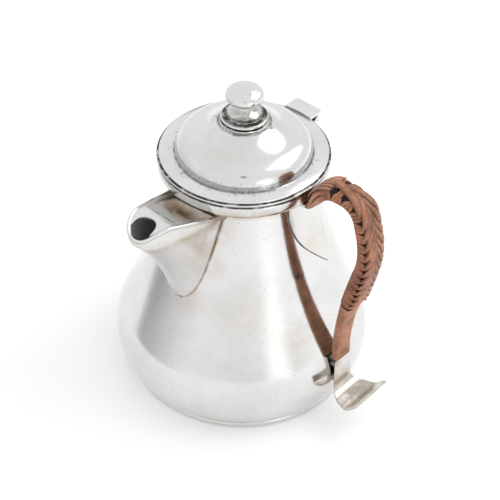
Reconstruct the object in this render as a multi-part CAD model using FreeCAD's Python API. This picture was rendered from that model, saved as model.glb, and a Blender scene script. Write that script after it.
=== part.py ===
import FreeCAD
import Part
import math
import os

# Silver coffee pot with a hinged lid, a covered beak spout and a cane-bound strap handle.
# Millimetres, Z up. The origin is the centre of the foot's resting face. The spout points along +X,
# the handle along +Y and the hinge along -X.

V = FreeCAD.Vector
ORIGIN = V(0, 0, 0)
X_AXIS = V(1, 0, 0)
Y_AXIS = V(0, 1, 0)
Z_AXIS = V(0, 0, 1)

# Curves are built from straight steps that keep this close to them
FACET = 0.3              # outside
FACET_INSIDE = 0.8       # inside the pot

# Body
FOOT_R = 54.2            # foot ring, outer radius at its flat faces
FOOT_H = 3.6
FOOT_W = 3.0             # radial width of the foot ring
FOOT_BULGE = 0.6
FOOT_LIP = 0.4           # body's base outside the foot ring
WALL = 1.1
BELLY_R = 61.8
BELLY_Z = 22.3           # height of the widest circle
BELLY_HIGH_ARC = 36.0    # profile radius above the widest circle
FLANK_LEAN = 24.0        # degrees from upright where the belly passes into the flank
NECK_R = 32.6
NECK_Z = 117.0           # where the flank ends and the upright neck starts
MOUTH_Z = 125.0
COLLAR_R = 40.0
COLLAR_H = 6.3
COLLAR_BULGE = 0.8
COLLAR_COVE = 1.1        # how much lower the collar meets the neck

# Strainer behind the spout
STRAINER_Z = 98.0
STRAINER_HOLE_R = 1.8
STRAINER_PITCH = 5.6
STRAINER_RING = 6

# Spout
SPOUT_REACH = 72.1       # axis to the tip of the trough
SPOUT_WALL = 1.0
KEEL_Z = 67.0            # where the keel leaves the body
KEEL_X = 46.0
KEEL_LEAN = 75.0         # degrees from level where it leaves
CHIN_Z = 114.5           # where the keel ends and the upright lip starts
SPOUT_FOOT_Z = 56.0      # lowest section, inside the body
SPOUT_BACK_X = 27.5      # back of every section, inside the body
SPOUT_SECTIONS = 5
SPOUT_STEPS = 6          # straight steps on each side of a section
ROOT_HALF = (13.0, 15.5) # half width at the back, lowest and highest section
WAIST_HALF = (10.8, 10.3) # pull of the outline's hollow
NOSE_HALF = (5.8, 11.0)  # pull of the outline's nose
WAIST_AT = 0.7           # where the hollow pulls, as part of the section's length
RIM_ROOT_X = 35.0
RIM_ROOT_Z = 115.9
RIM_TOP_IN = 14.2        # where the rim starts to curve down, behind the tip
RIM_TOP_Z = 122.9
RIM_TIP_Z = 115.4
RIM_PROUD = 0.9          # how far the bead stands off the trough
RIM_H = 1.5
COVER_T = 0.9
COVER_SINK = 0.3         # cover below the rim
COVER_DROP = 2.4         # cover below the rim's line at the neck
COVER_FOLD_IN = 17.1     # fold behind the tip
MOUTH_ARCH_R = 5.5
MOUTH_ARCH_IN = 5.9      # centre of the pouring mouth behind the tip

# Lid
LID_GAP = 0.3            # lid above the mouth
LID_R = 39.0
LID_T = 1.1
FLANGE_T = 0.9
LID_RIM_R = 40.2
LID_RIM_H = 1.2
LID_RIM_W = 3.0
LID_RIM_BULGE = 0.5
DOME_R = 31.7
DOME_FOOT = 0.9          # upright stretch under the shoulder
SHOULDER_ARC = 9.6
SHOULDER_LEAN = 12.0     # slope where the shoulder passes into the hollow
OGEE_R = 16.5            # where the hollow passes into the crown
OGEE_LEAN = 40.0         # slope there
CROWN_R = 10.5           # edge of the knob's seat
CROWN_T = 1.4
BEZEL_GAP = 0.5          # bezel inside the mouth
BEZEL_T = 1.0
BEZEL_H = 6.0

# Knob
STUD_R = 1.5
STUD_FREE = 0.05         # radial clearance of the stud's holes
KNOB_FLANGE_R = 11.2
KNOB_FLANGE_H = 0.9
KNOB_RING_R = 10.9
KNOB_RING_ARC = 1.0
KNOB_GROOVE_R = 8.5
KNOB_GROOVE_H = 0.4
STEM_DISC_R = 8.4
STEM_DISC_H = 0.9
STEM_TOP_R = 3.5
STEM_H = 5.8
STEM_FLARE = 14.0        # slope of the flare at the disc, degrees from level
BALL_R = 8.9
BALL_HALF = 4.9          # half height of the flattened ball
BALL_SEAT_R = 4.3
BALL_STEPS = 6           # straight steps of the ball's outline
STUD_BITE = 5.0          # stud inside the ball
NUT_R = 3.6
NUT_H = 2.4
STUD_END = 1.0           # stud below the nut

# Hinge
HINGE_OUT = 4.0          # pin axis outside the collar
HINGE_DROP = 1.0         # pin axis below the mouth
KNUCKLE_R = 1.9
PIN_R = 0.9
PIN_FREE = 0.05
KNUCKLE_GAP = 0.3
LID_KNUCKLE = 5.0        # length of the middle knuckle
HINGE_W = 15.4
TAB_OUT = 3.0            # tab beyond the pin axis
TAB_T = 1.2
TAB_CORNER = 1.3
TAB_JOINT = 0.1          # seam between the tab and the flange
WEB_T = 2.2

# Handle strap
STRAP_W = 8.0
STRAP_T = 1.4
ROOT_DROP = 9.8          # start of the strap below the mouth
ROOT_BURY = 3.0          # start of the route inside the neck
ROOT_OUT = 2.0           # first bend outside the collar
ROOT_RISE = 2.9
RISE_OUT = 11.2          # second bend outside the collar
HANDLE_TOP = 132.2
HANDLE_REACH = 74.9
SHOULDER_IN = 6.6        # third bend inside the reach
BACK_Z = 108.3
WAIST_Z = 62.0
WAIST_OUT = 2.4          # bends of the lower strap, outside the belly
SHANK_Z = 46.0
SHANK_OUT = 0.4
HEEL_Z = 17.0
HEEL_OUT = 1.8
TOE_OUT = 13.7
TAIL_OUT = 19.5
TAIL_Z = 23.0
# Bends of the strap, each as a part of the shorter straight run beside it
BEND_ROOT = 0.12
BEND_TOP = 0.367
BEND_SHOULDER = 0.445
BEND_BACK = 0.429
BEND_WAIST = 0.351
BEND_SHANK = 0.402
BEND_HEEL = 0.480
BEND_TOE = 0.254
TAIL_HALF = 11.7         # half width of the flared tail
TAIL_MID_HALF = 9.2      # half width where the tail turns up
PEG_R = 2.6
PEG_Z = 30.0

# Leaf under the strap's root, leaning to the hinge's side
LEAF_T = 1.2
LEAF_TOP = 8.2           # top of the leaf below the mouth
LEAF_NEAR = 6.0          # half width at the top, spout's side
LEAF_FAR = 8.0           # half width at the top, hinge's side
LEAF_BELLY = 7.0
LEAF_BELLY_DOWN = 13.8
LEAF_TURN = 0.5          # where the near edge turns to the tip
LEAF_TURN_DOWN = 26.8
LEAF_TIP = 14.0
LEAF_TIP_DOWN = 41.3
LEAF_BACK = 14.5
LEAF_BACK_DOWN = 20.8

# Cane
GRIP_START = 0.42        # start of the padding, part of the rising run
GRIP_END = 0.78          # end of the padding, part of the back's run
ROOT_BINDING_START = 0.87 # start of the binding at the root, part of the root's run
BINDING_END = 0.34       # end of the lower binding, part of the shank's run
PAD_HALF_W = 5.4
PAD_HALF_T = 2.4
PAD_CORNER = 2.0
PAD_SHIFT = 0.8          # padding's centre outside the strap's centre
CANE_R = 0.85
CANE_SIDES = 4
CANE_LOOPS = 10
CANE_FREE = 0.1          # winding off the padding
CANE_INSET = 2.2         # first and last turn inside the padding's ends
PLAIT_W = 8.0
PLAIT_T = 1.3
PLAIT_START = 0.6        # start of the plait, part of the rising run
BINDING_W = 11.2
BINDING_T = 3.4
BINDING_CORNER = 1.0

half_pi = math.pi / 2


def rad(degrees):
    return math.radians(degrees)


def line(a, b):
    return Part.LineSegment(a, b).toShape()


def arc_from(start, tangent, end):
    """Arc that leaves start along tangent and passes through end."""
    chord = end - start
    along = V(chord).normalize()
    side = tangent - along * tangent.dot(along)
    bow = chord.Length / 2 * math.tan(tangent.getAngle(chord) / 2)
    middle = start + chord / 2 + side.normalize() * bow
    return Part.Arc(start, middle, end).toShape()


def profile(points):
    """Closed outline of straight lines in the XZ plane from (x, z) pairs."""
    corners = [V(x, 0, z) for x, z in points]
    return Part.makePolygon(corners + corners[:1])


def steps(edge, sag):
    """Straight steps that follow an arc to within sag."""
    radius = edge.Curve.Radius
    count = math.ceil(edge.Length / radius / (2 * math.acos(1 - sag / radius)))
    points = edge.discretize(Number=count + 1)
    return [line(a, b) for a, b in zip(points, points[1:])]


def turned(edges, sag=FACET):
    """Solid of revolution about Z from a closed chain of lines and arcs."""
    chain = []
    for edge in edges:
        straight = isinstance(edge.Curve, Part.Line)
        chain += [edge] if straight else steps(edge, sag)
    return Part.Face(Part.Wire(chain)).revolve(ORIGIN, Z_AXIS, 360)


def ring(inner, outer, low, high):
    return turned(profile([(inner, low), (outer, low), (outer, high), (inner, high)]).Edges)


def slab(wire, low, high):
    """Prism of an XZ outline between two values of y."""
    face = Part.Face(wire)
    face.translate(V(0, low, 0))
    return face.extrude(V(0, high - low, 0))


def one(shape):
    """The single solid in a shape."""
    solids = shape.Solids
    if len(solids) != 1:
        raise ValueError("expected one solid, found %d" % len(solids))
    return solids[0]


def save(name, shape):
    solid = one(shape)
    if not solid.isValid():
        raise ValueError(name + " is not valid")
    solid.exportStep("parts/" + name + ".step")


def lerp(pair, part):
    return pair[0] + (pair[1] - pair[0]) * part


# Body

belly_in = BELLY_R - FOOT_R - FOOT_LIP
belly_low_arc = (belly_in ** 2 + (BELLY_Z - FOOT_H) ** 2) / (2 * belly_in)


def body_solid(grow, top, sag=FACET):
    """Body as a solid, with its outside moved out by grow and closed at the height top."""
    low_centre = V(BELLY_R - belly_low_arc, 0, BELLY_Z)
    high_centre = V(BELLY_R - BELLY_HIGH_ARC, 0, BELLY_Z)
    low_arc = belly_low_arc + grow
    high_arc = BELLY_HIGH_ARC + grow
    floor = FOOT_H - grow
    tilt = math.asin((floor - BELLY_Z) / low_arc)

    def low_at(angle):
        return low_centre + V(math.cos(angle), 0, math.sin(angle)) * low_arc

    def high_at(angle):
        return high_centre + V(math.cos(angle), 0, math.sin(angle)) * high_arc

    base = low_at(tilt)
    widest = V(BELLY_R + grow, 0, BELLY_Z)
    lean = rad(FLANK_LEAN)
    flank = high_at(lean)
    neck = V(NECK_R + grow, 0, NECK_Z)
    rim = V(NECK_R + grow, 0, top)
    return turned([
        line(V(0, 0, floor), base),
        Part.Arc(base, low_at(tilt / 2), widest).toShape(),
        Part.Arc(widest, high_at(lean / 2), flank).toShape(),
        arc_from(flank, V(-math.sin(lean), 0, math.cos(lean)), neck),
        line(neck, rim),
        line(rim, V(0, 0, top)),
        line(V(0, 0, top), V(0, 0, floor)),
    ], sag)


def strainer():
    """Cutters of the holes in the wall behind the spout."""
    centres = [(0, 0)]
    for k in range(STRAINER_RING):
        angle = 2 * math.pi * k / STRAINER_RING
        centres.append((STRAINER_PITCH * math.cos(angle), STRAINER_PITCH * math.sin(angle)))
    drills = []
    for y, z in centres:
        drills.append(Part.makeCylinder(STRAINER_HOLE_R, KEEL_X, V(0, y, STRAINER_Z + z), X_AXIS))
    return drills


body_outside = body_solid(0, MOUTH_Z)
body_inside = body_solid(-WALL, MOUTH_Z + WALL, FACET_INSIDE)
foot_in = FOOT_R - FOOT_W
base_plate = Part.makeCylinder(foot_in, WALL, V(0, 0, FOOT_H), Z_AXIS)
body_shell = body_outside.cut(body_inside).cut(strainer() + [base_plate])

foot_ring = turned([
    line(V(foot_in, 0, FOOT_H), V(foot_in, 0, 0)),
    line(V(foot_in, 0, 0), V(FOOT_R, 0, 0)),
    Part.Arc(V(FOOT_R, 0, 0), V(FOOT_R + FOOT_BULGE, 0, FOOT_H / 2), V(FOOT_R, 0, FOOT_H)).toShape(),
    line(V(FOOT_R, 0, FOOT_H), V(foot_in, 0, FOOT_H)),
])

collar_low = MOUTH_Z - COLLAR_H
collar_edge = COLLAR_R - COLLAR_BULGE
neck_collar = turned([
    line(V(NECK_R, 0, MOUTH_Z), V(NECK_R, 0, collar_low - COLLAR_COVE)),
    line(V(NECK_R, 0, collar_low - COLLAR_COVE), V(collar_edge, 0, collar_low)),
    Part.Arc(V(collar_edge, 0, collar_low), V(COLLAR_R, 0, MOUTH_Z - COLLAR_H / 2),
             V(collar_edge, 0, MOUTH_Z)).toShape(),
    line(V(collar_edge, 0, MOUTH_Z), V(NECK_R, 0, MOUTH_Z)),
])
collar_room = ring(0, COLLAR_R, collar_low - COLLAR_COVE, MOUTH_Z)


# Spout

rim_top_x = SPOUT_REACH - RIM_TOP_IN
fold_x = SPOUT_REACH - COVER_FOLD_IN
arch_x = SPOUT_REACH - MOUTH_ARCH_IN
roof_z = MOUTH_Z + COLLAR_H


def keel_at(height):
    """Distance of the keel from the axis, on an arc from the body to the tip of the trough."""
    start = V(KEEL_X, 0, KEEL_Z)
    leave = V(math.cos(rad(KEEL_LEAN)), 0, math.sin(rad(KEEL_LEAN)))
    chord = V(SPOUT_REACH, 0, CHIN_Z) - start
    radius = chord.Length / (2 * math.sin(leave.getAngle(chord)))
    centre = start + V(leave.z, 0, -leave.x) * radius
    return centre.x - math.sqrt(radius ** 2 - (height - centre.z) ** 2)


def spout_section(part, grow):
    """Level section of the spout: a curve from the back to the nose and its mirror image."""
    height = SPOUT_FOOT_Z + (CHIN_Z - SPOUT_FOOT_Z) * part
    nose = keel_at(height) + grow
    back = SPOUT_BACK_X
    waist = back + (nose - back) * WAIST_AT
    curve = Part.BezierCurve()
    curve.setPoles([
        V(back, lerp(ROOT_HALF, part) + grow, height),
        V(waist, lerp(WAIST_HALF, part) + grow, height),
        V(nose, lerp(NOSE_HALF, part) + grow, height),
        V(nose, 0, height),
    ])
    near = [curve.value(k / SPOUT_STEPS) for k in range(SPOUT_STEPS + 1)]
    far = [V(p.x, -p.y, p.z) for p in reversed(near[:-1])]
    return Part.makePolygon(near + far + near[:1])


def spout_form(grow):
    """Spout as a solid with its sides moved out by grow, upright above the chin."""
    wires = [spout_section(k / (SPOUT_SECTIONS - 1), grow) for k in range(SPOUT_SECTIONS)]
    trough = Part.makeLoft(wires, True, True)
    lip = Part.Face(wires[-1]).extrude(V(0, 0, roof_z - CHIN_Z))
    return trough.fuse(lip)


def rim_line(drop):
    """Edges of the rim's side view, from behind the root to beyond the tip, lowered by drop."""
    slope = (RIM_TOP_Z - RIM_ROOT_Z) / (rim_top_x - RIM_ROOT_X)
    rise = V(1, 0, slope).normalize()
    back = V(SPOUT_BACK_X, 0, RIM_ROOT_Z - (RIM_ROOT_X - SPOUT_BACK_X) * slope - drop)
    top = V(rim_top_x, 0, RIM_TOP_Z - drop)
    tip = V(SPOUT_REACH + 2 * RIM_PROUD, 0, RIM_TIP_Z - drop)
    return [line(back, top), arc_from(top, rise, tip)]


def above_rim(drop):
    """Everything above the rim's line."""
    edges = rim_line(drop)
    back = edges[0].Vertexes[0].Point
    tip = edges[1].Vertexes[1].Point
    edges.append(line(tip, V(tip.x, 0, roof_z)))
    edges.append(line(V(tip.x, 0, roof_z), V(back.x, 0, roof_z)))
    edges.append(line(V(back.x, 0, roof_z), back))
    return slab(Part.Wire(edges), -COLLAR_R, COLLAR_R)


spout_outside = spout_form(0)
spout_inside = spout_form(-SPOUT_WALL)
over_rim = above_rim(0)
spout_shell = spout_outside.cut([spout_inside, over_rim, body_outside, collar_room])
rim_band = above_rim(RIM_H).cut(over_rim)
spout_rim = spout_form(RIM_PROUD).cut(spout_outside).common(rim_band).cut([body_outside, collar_room])


def cover_back():
    """Side view of the cover between the neck and the fold."""
    slope = (RIM_TOP_Z - RIM_ROOT_Z) / (rim_top_x - RIM_ROOT_X)
    fold_z = RIM_ROOT_Z + (fold_x - RIM_ROOT_X) * slope - COVER_SINK
    neck_z = RIM_ROOT_Z + (NECK_R - RIM_ROOT_X) * slope - COVER_DROP
    top = [(NECK_R, neck_z), (fold_x, fold_z)]
    return profile(top + [(x, z - COVER_T) for x, z in reversed(top)])


arch = Part.makeCylinder(MOUTH_ARCH_R, COLLAR_R, V(arch_x, 0, CHIN_Z - COLLAR_H), Z_AXIS)
arch_way = Part.makeBox(MOUTH_ARCH_R, 2 * MOUTH_ARCH_R, COLLAR_R,
                        V(arch_x, -MOUTH_ARCH_R, CHIN_Z - COLLAR_H))
cover_band = above_rim(COVER_SINK + COVER_T).cut(above_rim(COVER_SINK))
before_fold = Part.makeBox(SPOUT_REACH, 2 * COLLAR_R, roof_z, V(fold_x, -COLLAR_R, 0))
cover_front = cover_band.common(before_fold)
cover_plate = slab(cover_back(), -COLLAR_R, COLLAR_R).fuse(cover_front)
spout_cover = cover_plate.common(spout_inside).cut([arch, arch_way, body_outside]).removeSplitter()


# Lid

lid_z = MOUTH_Z + LID_GAP
flange_low = lid_z + LID_RIM_H
flange_top = flange_low + FLANGE_T
shoulder_z = flange_top + DOME_FOOT
shoulder_centre = V(DOME_R - SHOULDER_ARC, 0, shoulder_z)


def shoulder_at(angle, radius):
    return shoulder_centre + V(math.cos(angle), 0, math.sin(angle)) * radius


def inward(slope):
    """Direction towards the axis that climbs at the slope."""
    return V(-math.cos(rad(slope)), 0, math.sin(rad(slope)))


shoulder_end = shoulder_at(half_pi - rad(SHOULDER_LEAN), SHOULDER_ARC)
ogee_chord = inward((SHOULDER_LEAN + OGEE_LEAN) / 2)
ogee = shoulder_end + ogee_chord * ((OGEE_R - shoulder_end.x) / ogee_chord.x)
crown = ogee + ogee_chord * ((CROWN_R - OGEE_R) / ogee_chord.x)
seat_z = crown.z
stud_hole = STUD_R + STUD_FREE
ceiling_z = seat_z - CROWN_T
dome_in = DOME_R - LID_T
mid_shoulder = shoulder_at(half_pi / 2, SHOULDER_ARC - LID_T)
lid_dome = turned([
    line(V(dome_in, 0, flange_low), V(LID_R, 0, flange_low)),
    line(V(LID_R, 0, flange_low), V(LID_R, 0, flange_top)),
    line(V(LID_R, 0, flange_top), V(DOME_R, 0, flange_top)),
    line(V(DOME_R, 0, flange_top), V(DOME_R, 0, shoulder_z)),
    Part.Arc(V(DOME_R, 0, shoulder_z), shoulder_at(half_pi / 2, SHOULDER_ARC), shoulder_end).toShape(),
    arc_from(shoulder_end, inward(SHOULDER_LEAN), ogee),
    arc_from(ogee, inward(OGEE_LEAN), crown),
    line(crown, V(stud_hole, 0, seat_z)),
    line(V(stud_hole, 0, seat_z), V(stud_hole, 0, ceiling_z)),
    line(V(stud_hole, 0, ceiling_z), V(CROWN_R, 0, ceiling_z)),
    line(V(CROWN_R, 0, ceiling_z), ogee - V(LID_T, 0, CROWN_T)),
    line(ogee - V(LID_T, 0, CROWN_T), shoulder_end - V(0, 0, CROWN_T)),
    line(shoulder_end - V(0, 0, CROWN_T), mid_shoulder),
    line(mid_shoulder, V(dome_in, 0, shoulder_z)),
    line(V(dome_in, 0, shoulder_z), V(dome_in, 0, flange_low)),
])

rim_in = LID_RIM_R - LID_RIM_W
rim_edge = LID_RIM_R - LID_RIM_BULGE
lid_rim = turned([
    line(V(rim_in, 0, flange_low), V(rim_in, 0, lid_z)),
    line(V(rim_in, 0, lid_z), V(rim_edge, 0, lid_z)),
    Part.Arc(V(rim_edge, 0, lid_z), V(LID_RIM_R, 0, lid_z + LID_RIM_H / 2),
             V(rim_edge, 0, flange_low)).toShape(),
    line(V(rim_edge, 0, flange_low), V(rim_in, 0, flange_low)),
])

bezel_r = NECK_R - WALL - BEZEL_GAP
lid_bezel = ring(bezel_r - BEZEL_T, bezel_r, flange_low - BEZEL_H, flange_low)

# Knob

knob_ring_z = seat_z + KNOB_FLANGE_H + KNOB_RING_ARC
knob_ring_in = KNOB_RING_R - KNOB_RING_ARC
groove_z = knob_ring_z + KNOB_RING_ARC
stem_z = groove_z + KNOB_GROOVE_H
knob_base = turned([
    line(V(stud_hole, 0, stem_z), V(stud_hole, 0, seat_z)),
    line(V(stud_hole, 0, seat_z), V(KNOB_FLANGE_R, 0, seat_z)),
    line(V(KNOB_FLANGE_R, 0, seat_z), V(KNOB_FLANGE_R, 0, seat_z + KNOB_FLANGE_H)),
    line(V(KNOB_FLANGE_R, 0, seat_z + KNOB_FLANGE_H), V(knob_ring_in, 0, seat_z + KNOB_FLANGE_H)),
    Part.Arc(V(knob_ring_in, 0, seat_z + KNOB_FLANGE_H), V(KNOB_RING_R, 0, knob_ring_z),
             V(knob_ring_in, 0, groove_z)).toShape(),
    line(V(knob_ring_in, 0, groove_z), V(KNOB_GROOVE_R, 0, groove_z)),
    line(V(KNOB_GROOVE_R, 0, groove_z), V(KNOB_GROOVE_R - KNOB_GROOVE_H, 0, stem_z)),
    line(V(KNOB_GROOVE_R - KNOB_GROOVE_H, 0, stem_z), V(stud_hole, 0, stem_z)),
])

disc_z = stem_z + STEM_DISC_H
ball_z = stem_z + STEM_H
knob_stem = turned([
    line(V(stud_hole, 0, ball_z), V(stud_hole, 0, stem_z)),
    line(V(stud_hole, 0, stem_z), V(STEM_DISC_R, 0, stem_z)),
    line(V(STEM_DISC_R, 0, stem_z), V(STEM_DISC_R, 0, disc_z)),
    arc_from(V(STEM_DISC_R, 0, disc_z), inward(STEM_FLARE), V(STEM_TOP_R, 0, ball_z)),
    line(V(STEM_TOP_R, 0, ball_z), V(stud_hole, 0, ball_z)),
])

seat_angle = math.acos(BALL_SEAT_R / BALL_R)
ball_centre = ball_z + BALL_HALF * math.sin(seat_angle)
stud_top = ball_z + STUD_BITE
ball_outline = [(0, stud_top), (stud_hole, stud_top), (stud_hole, ball_z)]
for k in range(BALL_STEPS + 1):
    angle = (half_pi + seat_angle) * k / BALL_STEPS - seat_angle
    ball_outline.append((BALL_R * math.cos(angle), ball_centre + BALL_HALF * math.sin(angle)))
knob_ball = turned(profile(ball_outline).Edges)

nut_z = ceiling_z - NUT_H
nut_corners = []
for k in range(7):
    nut_corners.append(V(NUT_R * math.cos(k * math.pi / 3), NUT_R * math.sin(k * math.pi / 3), nut_z))
nut_block = Part.Face(Part.makePolygon(nut_corners)).extrude(V(0, 0, NUT_H))
knob_nut = nut_block.cut(Part.makeCylinder(stud_hole, NUT_H, V(0, 0, nut_z)))
stud_low = nut_z - STUD_END
knob_stud = Part.makeCylinder(STUD_R, stud_top - stud_low, V(0, 0, stud_low))

# Hinge

hinge_x = COLLAR_R + HINGE_OUT
hinge_z = MOUTH_Z - HINGE_DROP
hinge_half = HINGE_W / 2
lid_half = LID_KNUCKLE / 2
slot_half = lid_half + KNUCKLE_GAP
tab_r = hinge_x + TAB_OUT
tab_top = flange_low + TAB_T


def rod(radius, low, high):
    """Cylinder on the pin's axis between two values of y."""
    return Part.makeCylinder(radius, high - low, V(-hinge_x, low, hinge_z), Y_AXIS)


pin_hole = rod(PIN_R + PIN_FREE, -hinge_x, hinge_x)
hinge_pin = rod(PIN_R, -hinge_half, hinge_half)
web = Part.makeBox(hinge_x - NECK_R, HINGE_W, WEB_T, V(-hinge_x, -hinge_half, hinge_z - KNUCKLE_R))
slot_r = KNUCKLE_R + KNUCKLE_GAP
slot = Part.makeBox(2 * slot_r, 2 * slot_half, 2 * slot_r, V(-hinge_x - slot_r, -slot_half, hinge_z - slot_r))
hinge_bracket = rod(KNUCKLE_R, -hinge_half, hinge_half).fuse(web)
hinge_bracket = hinge_bracket.cut([slot, pin_hole, neck_collar, body_outside]).removeSplitter()

tab = Part.makeBox(tab_r - NECK_R, HINGE_W, TAB_T, V(-tab_r, -hinge_half, flange_low))
tab_corners = []
for edge in tab.Edges:
    middle = edge.CenterOfMass
    if abs(middle.z - flange_low - TAB_T / 2) < TAB_T / 4 and middle.x < -hinge_x:
        tab_corners.append(edge)
tab = tab.makeFillet(TAB_CORNER, tab_corners)
tab = tab.cut(ring(0, LID_R + TAB_JOINT, flange_low - TAB_T, tab_top + TAB_T))
knuckle_web = Part.makeBox(2 * KNUCKLE_R, LID_KNUCKLE, flange_low - hinge_z,
                           V(-hinge_x - KNUCKLE_R, -lid_half, hinge_z))
lid_hinge_leaf = tab.fuse([knuckle_web, rod(KNUCKLE_R, -lid_half, lid_half)]).cut(pin_hole)
lid_hinge_leaf = lid_hinge_leaf.cut(lid_rim).removeSplitter()

# Handle strap: a route of straight runs joined by arcs

root_z = MOUTH_Z - ROOT_DROP
strap_corners = [
    (NECK_R - ROOT_BURY, root_z, 0),
    (COLLAR_R + ROOT_OUT, root_z + ROOT_RISE, BEND_ROOT),
    (COLLAR_R + RISE_OUT, HANDLE_TOP, BEND_TOP),
    (HANDLE_REACH - SHOULDER_IN, HANDLE_TOP, BEND_SHOULDER),
    (HANDLE_REACH, BACK_Z, BEND_BACK),
    (BELLY_R + WAIST_OUT, WAIST_Z, BEND_WAIST),
    (BELLY_R + SHANK_OUT, SHANK_Z, BEND_SHANK),
    (BELLY_R + HEEL_OUT, HEEL_Z, BEND_HEEL),
    (BELLY_R + TOE_OUT, HEEL_Z, BEND_TOE),
    (BELLY_R + TAIL_OUT, TAIL_Z, 0),
]
run_names = ["root", "rising", "top", "shoulder", "back", "waist", "shank", "heel", "tail"]


def with_radius(k):
    """A corner of the strap as (y, z, radius of its bend)."""
    y, z, share = strap_corners[k]
    if not share:
        return (y, z, 0)
    here = V(0, y, z)
    back = V(0, *strap_corners[k - 1][:2]) - here
    ahead = V(0, *strap_corners[k + 1][:2]) - here
    reach = share * min(back.Length, ahead.Length)
    return (y, z, reach * math.tan(back.getAngle(ahead) / 2))


strap_route = [with_radius(k) for k in range(len(strap_corners))]


def on_run(name, part):
    """Point of the route on a straight run, as a part of the way between its two bends."""
    run = run_names.index(name)
    a = strap_route[run]
    b = strap_route[run + 1]
    return (a[0] + (b[0] - a[0]) * part, a[1] + (b[1] - a[1]) * part, 0)


def stretch(run_a, part_a, run_b, part_b):
    """The route between a point of one run and a point of a later one."""
    bends = strap_route[run_names.index(run_a) + 1:run_names.index(run_b) + 1]
    return [on_run(run_a, part_a)] + bends + [on_run(run_b, part_b)]


def route_edges(route):
    """Lines and tangent arcs of a route in the YZ plane."""
    points = [V(0, y, z) for y, z, _ in route]
    edges = []
    start = points[0]
    for k in range(1, len(points) - 1):
        back = (points[k - 1] - points[k]).normalize()
        ahead = (points[k + 1] - points[k]).normalize()
        half = back.getAngle(ahead) / 2
        bend = route[k][2]
        inner = (back + ahead).normalize()
        enter = points[k] + back * (bend / math.tan(half))
        leave = points[k] + ahead * (bend / math.tan(half))
        nearest = points[k] + inner * (bend / math.sin(half) - bend)
        edges.append(line(start, enter))
        edges.append(Part.Arc(enter, nearest, leave).toShape())
        start = leave
    edges.append(line(start, points[-1]))
    return edges


def placed(outline, start, tangent):
    """Outline of (width, height) points at the start of a route, width along X, height outwards."""
    outwards = X_AXIS.cross(tangent)
    return [start + X_AXIS * w + outwards * h for w, h in outline]


def swept(make_outline, route):
    """Solid of an outline swept along a route."""
    edges = route_edges(route)
    start = edges[0].Vertexes[0].Point
    tangent = (edges[0].Vertexes[1].Point - start).normalize()
    return Part.Wire(edges).makePipeShell([make_outline(start, tangent)], True, False)


def bar(width, low, high):
    """Maker of a rectangular outline between two heights."""
    def make(start, tangent):
        half = width / 2
        corners = placed([(-half, low), (half, low), (half, high), (-half, high)], start, tangent)
        return Part.makePolygon(corners + corners[:1])
    return make


def biarc(start, leave, end, arrive):
    """Two arcs that leave start along one direction and reach end along another."""
    chord = end - start
    both = chord.dot(leave + arrive)
    spread = 2 * (1 - leave.dot(arrive))
    reach = (math.sqrt(both ** 2 + spread * chord.dot(chord)) - both) / spread
    joint = (start + end + (leave - arrive) * reach) / 2
    second = arc_from(end, arrive * -1, joint)
    middle = second.valueAt((second.FirstParameter + second.LastParameter) / 2)
    return [arc_from(start, leave, joint), Part.Arc(joint, middle, end).toShape()]


def chamfered(width, low, high, corner):
    """Maker of a rectangle between two heights with its corners cut off."""
    def make(start, tangent):
        half = width / 2
        flat = half - corner
        outline = [(-half, low + corner), (-flat, low), (flat, low), (half, low + corner),
                   (half, high - corner), (flat, high), (-flat, high), (-half, high - corner)]
        corners = placed(outline, start, tangent)
        return Part.makePolygon(corners + corners[:1])
    return make


def crowned(width, low, rise):
    """Maker of a strip with a flat underside at the height low and a raised back."""
    def make(start, tangent):
        half = width / 2
        outline = [(-half, low), (half, low), (half / 2, low + rise), (-half / 2, low + rise)]
        corners = placed(outline, start, tangent)
        return Part.makePolygon(corners + corners[:1])
    return make


strap_half = STRAP_T / 2
strap_band = swept(bar(STRAP_W, -strap_half, strap_half), strap_route)
tail_route = stretch("shank", BINDING_END, "tail", 1)
wide_tail = swept(bar(2 * TAIL_HALF, -strap_half, strap_half), tail_route)
flare_start = BELLY_R
flare_end = BELLY_R + TAIL_OUT + STRAP_T
flare_mid = BELLY_R + TOE_OUT / 2
flare = [
    Part.Arc(V(STRAP_W / 2, flare_start, 0), V(TAIL_MID_HALF, flare_mid, 0),
             V(TAIL_HALF, flare_end, 0)).toShape(),
    line(V(TAIL_HALF, flare_end, 0), V(-TAIL_HALF, flare_end, 0)),
    Part.Arc(V(-TAIL_HALF, flare_end, 0), V(-TAIL_MID_HALF, flare_mid, 0),
             V(-STRAP_W / 2, flare_start, 0)).toShape(),
    line(V(-STRAP_W / 2, flare_start, 0), V(STRAP_W / 2, flare_start, 0)),
]
tail = wide_tail.common(Part.Face(Part.Wire(flare)).extrude(V(0, 0, SHANK_Z)))
leaf_outside = body_solid(LEAF_T, MOUTH_Z)
handle_strap = strap_band.fuse(tail).cut(leaf_outside).removeSplitter()

leaf_top = MOUTH_Z - LEAF_TOP
leaf_near = V(LEAF_NEAR, 0, leaf_top)
leaf_belly = V(LEAF_BELLY, 0, leaf_top - LEAF_BELLY_DOWN)
leaf_turn = V(LEAF_TURN, 0, leaf_top - LEAF_TURN_DOWN)
leaf_tip = V(-LEAF_TIP, 0, leaf_top - LEAF_TIP_DOWN)
leaf_back = V(-LEAF_BACK, 0, leaf_top - LEAF_BACK_DOWN)
leaf_far = V(-LEAF_FAR, 0, leaf_top)
near_edge = Part.Arc(leaf_near, leaf_belly, leaf_turn).toShape()
leaf_outline = Part.Wire([
    near_edge,
    arc_from(leaf_turn, near_edge.tangentAt(near_edge.LastParameter), leaf_tip),
    Part.Arc(leaf_tip, leaf_back, leaf_far).toShape(),
    line(leaf_far, leaf_near),
])
handle_leaf = leaf_outside.cut(body_outside).common(slab(leaf_outline, 0, BELLY_R))

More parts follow.
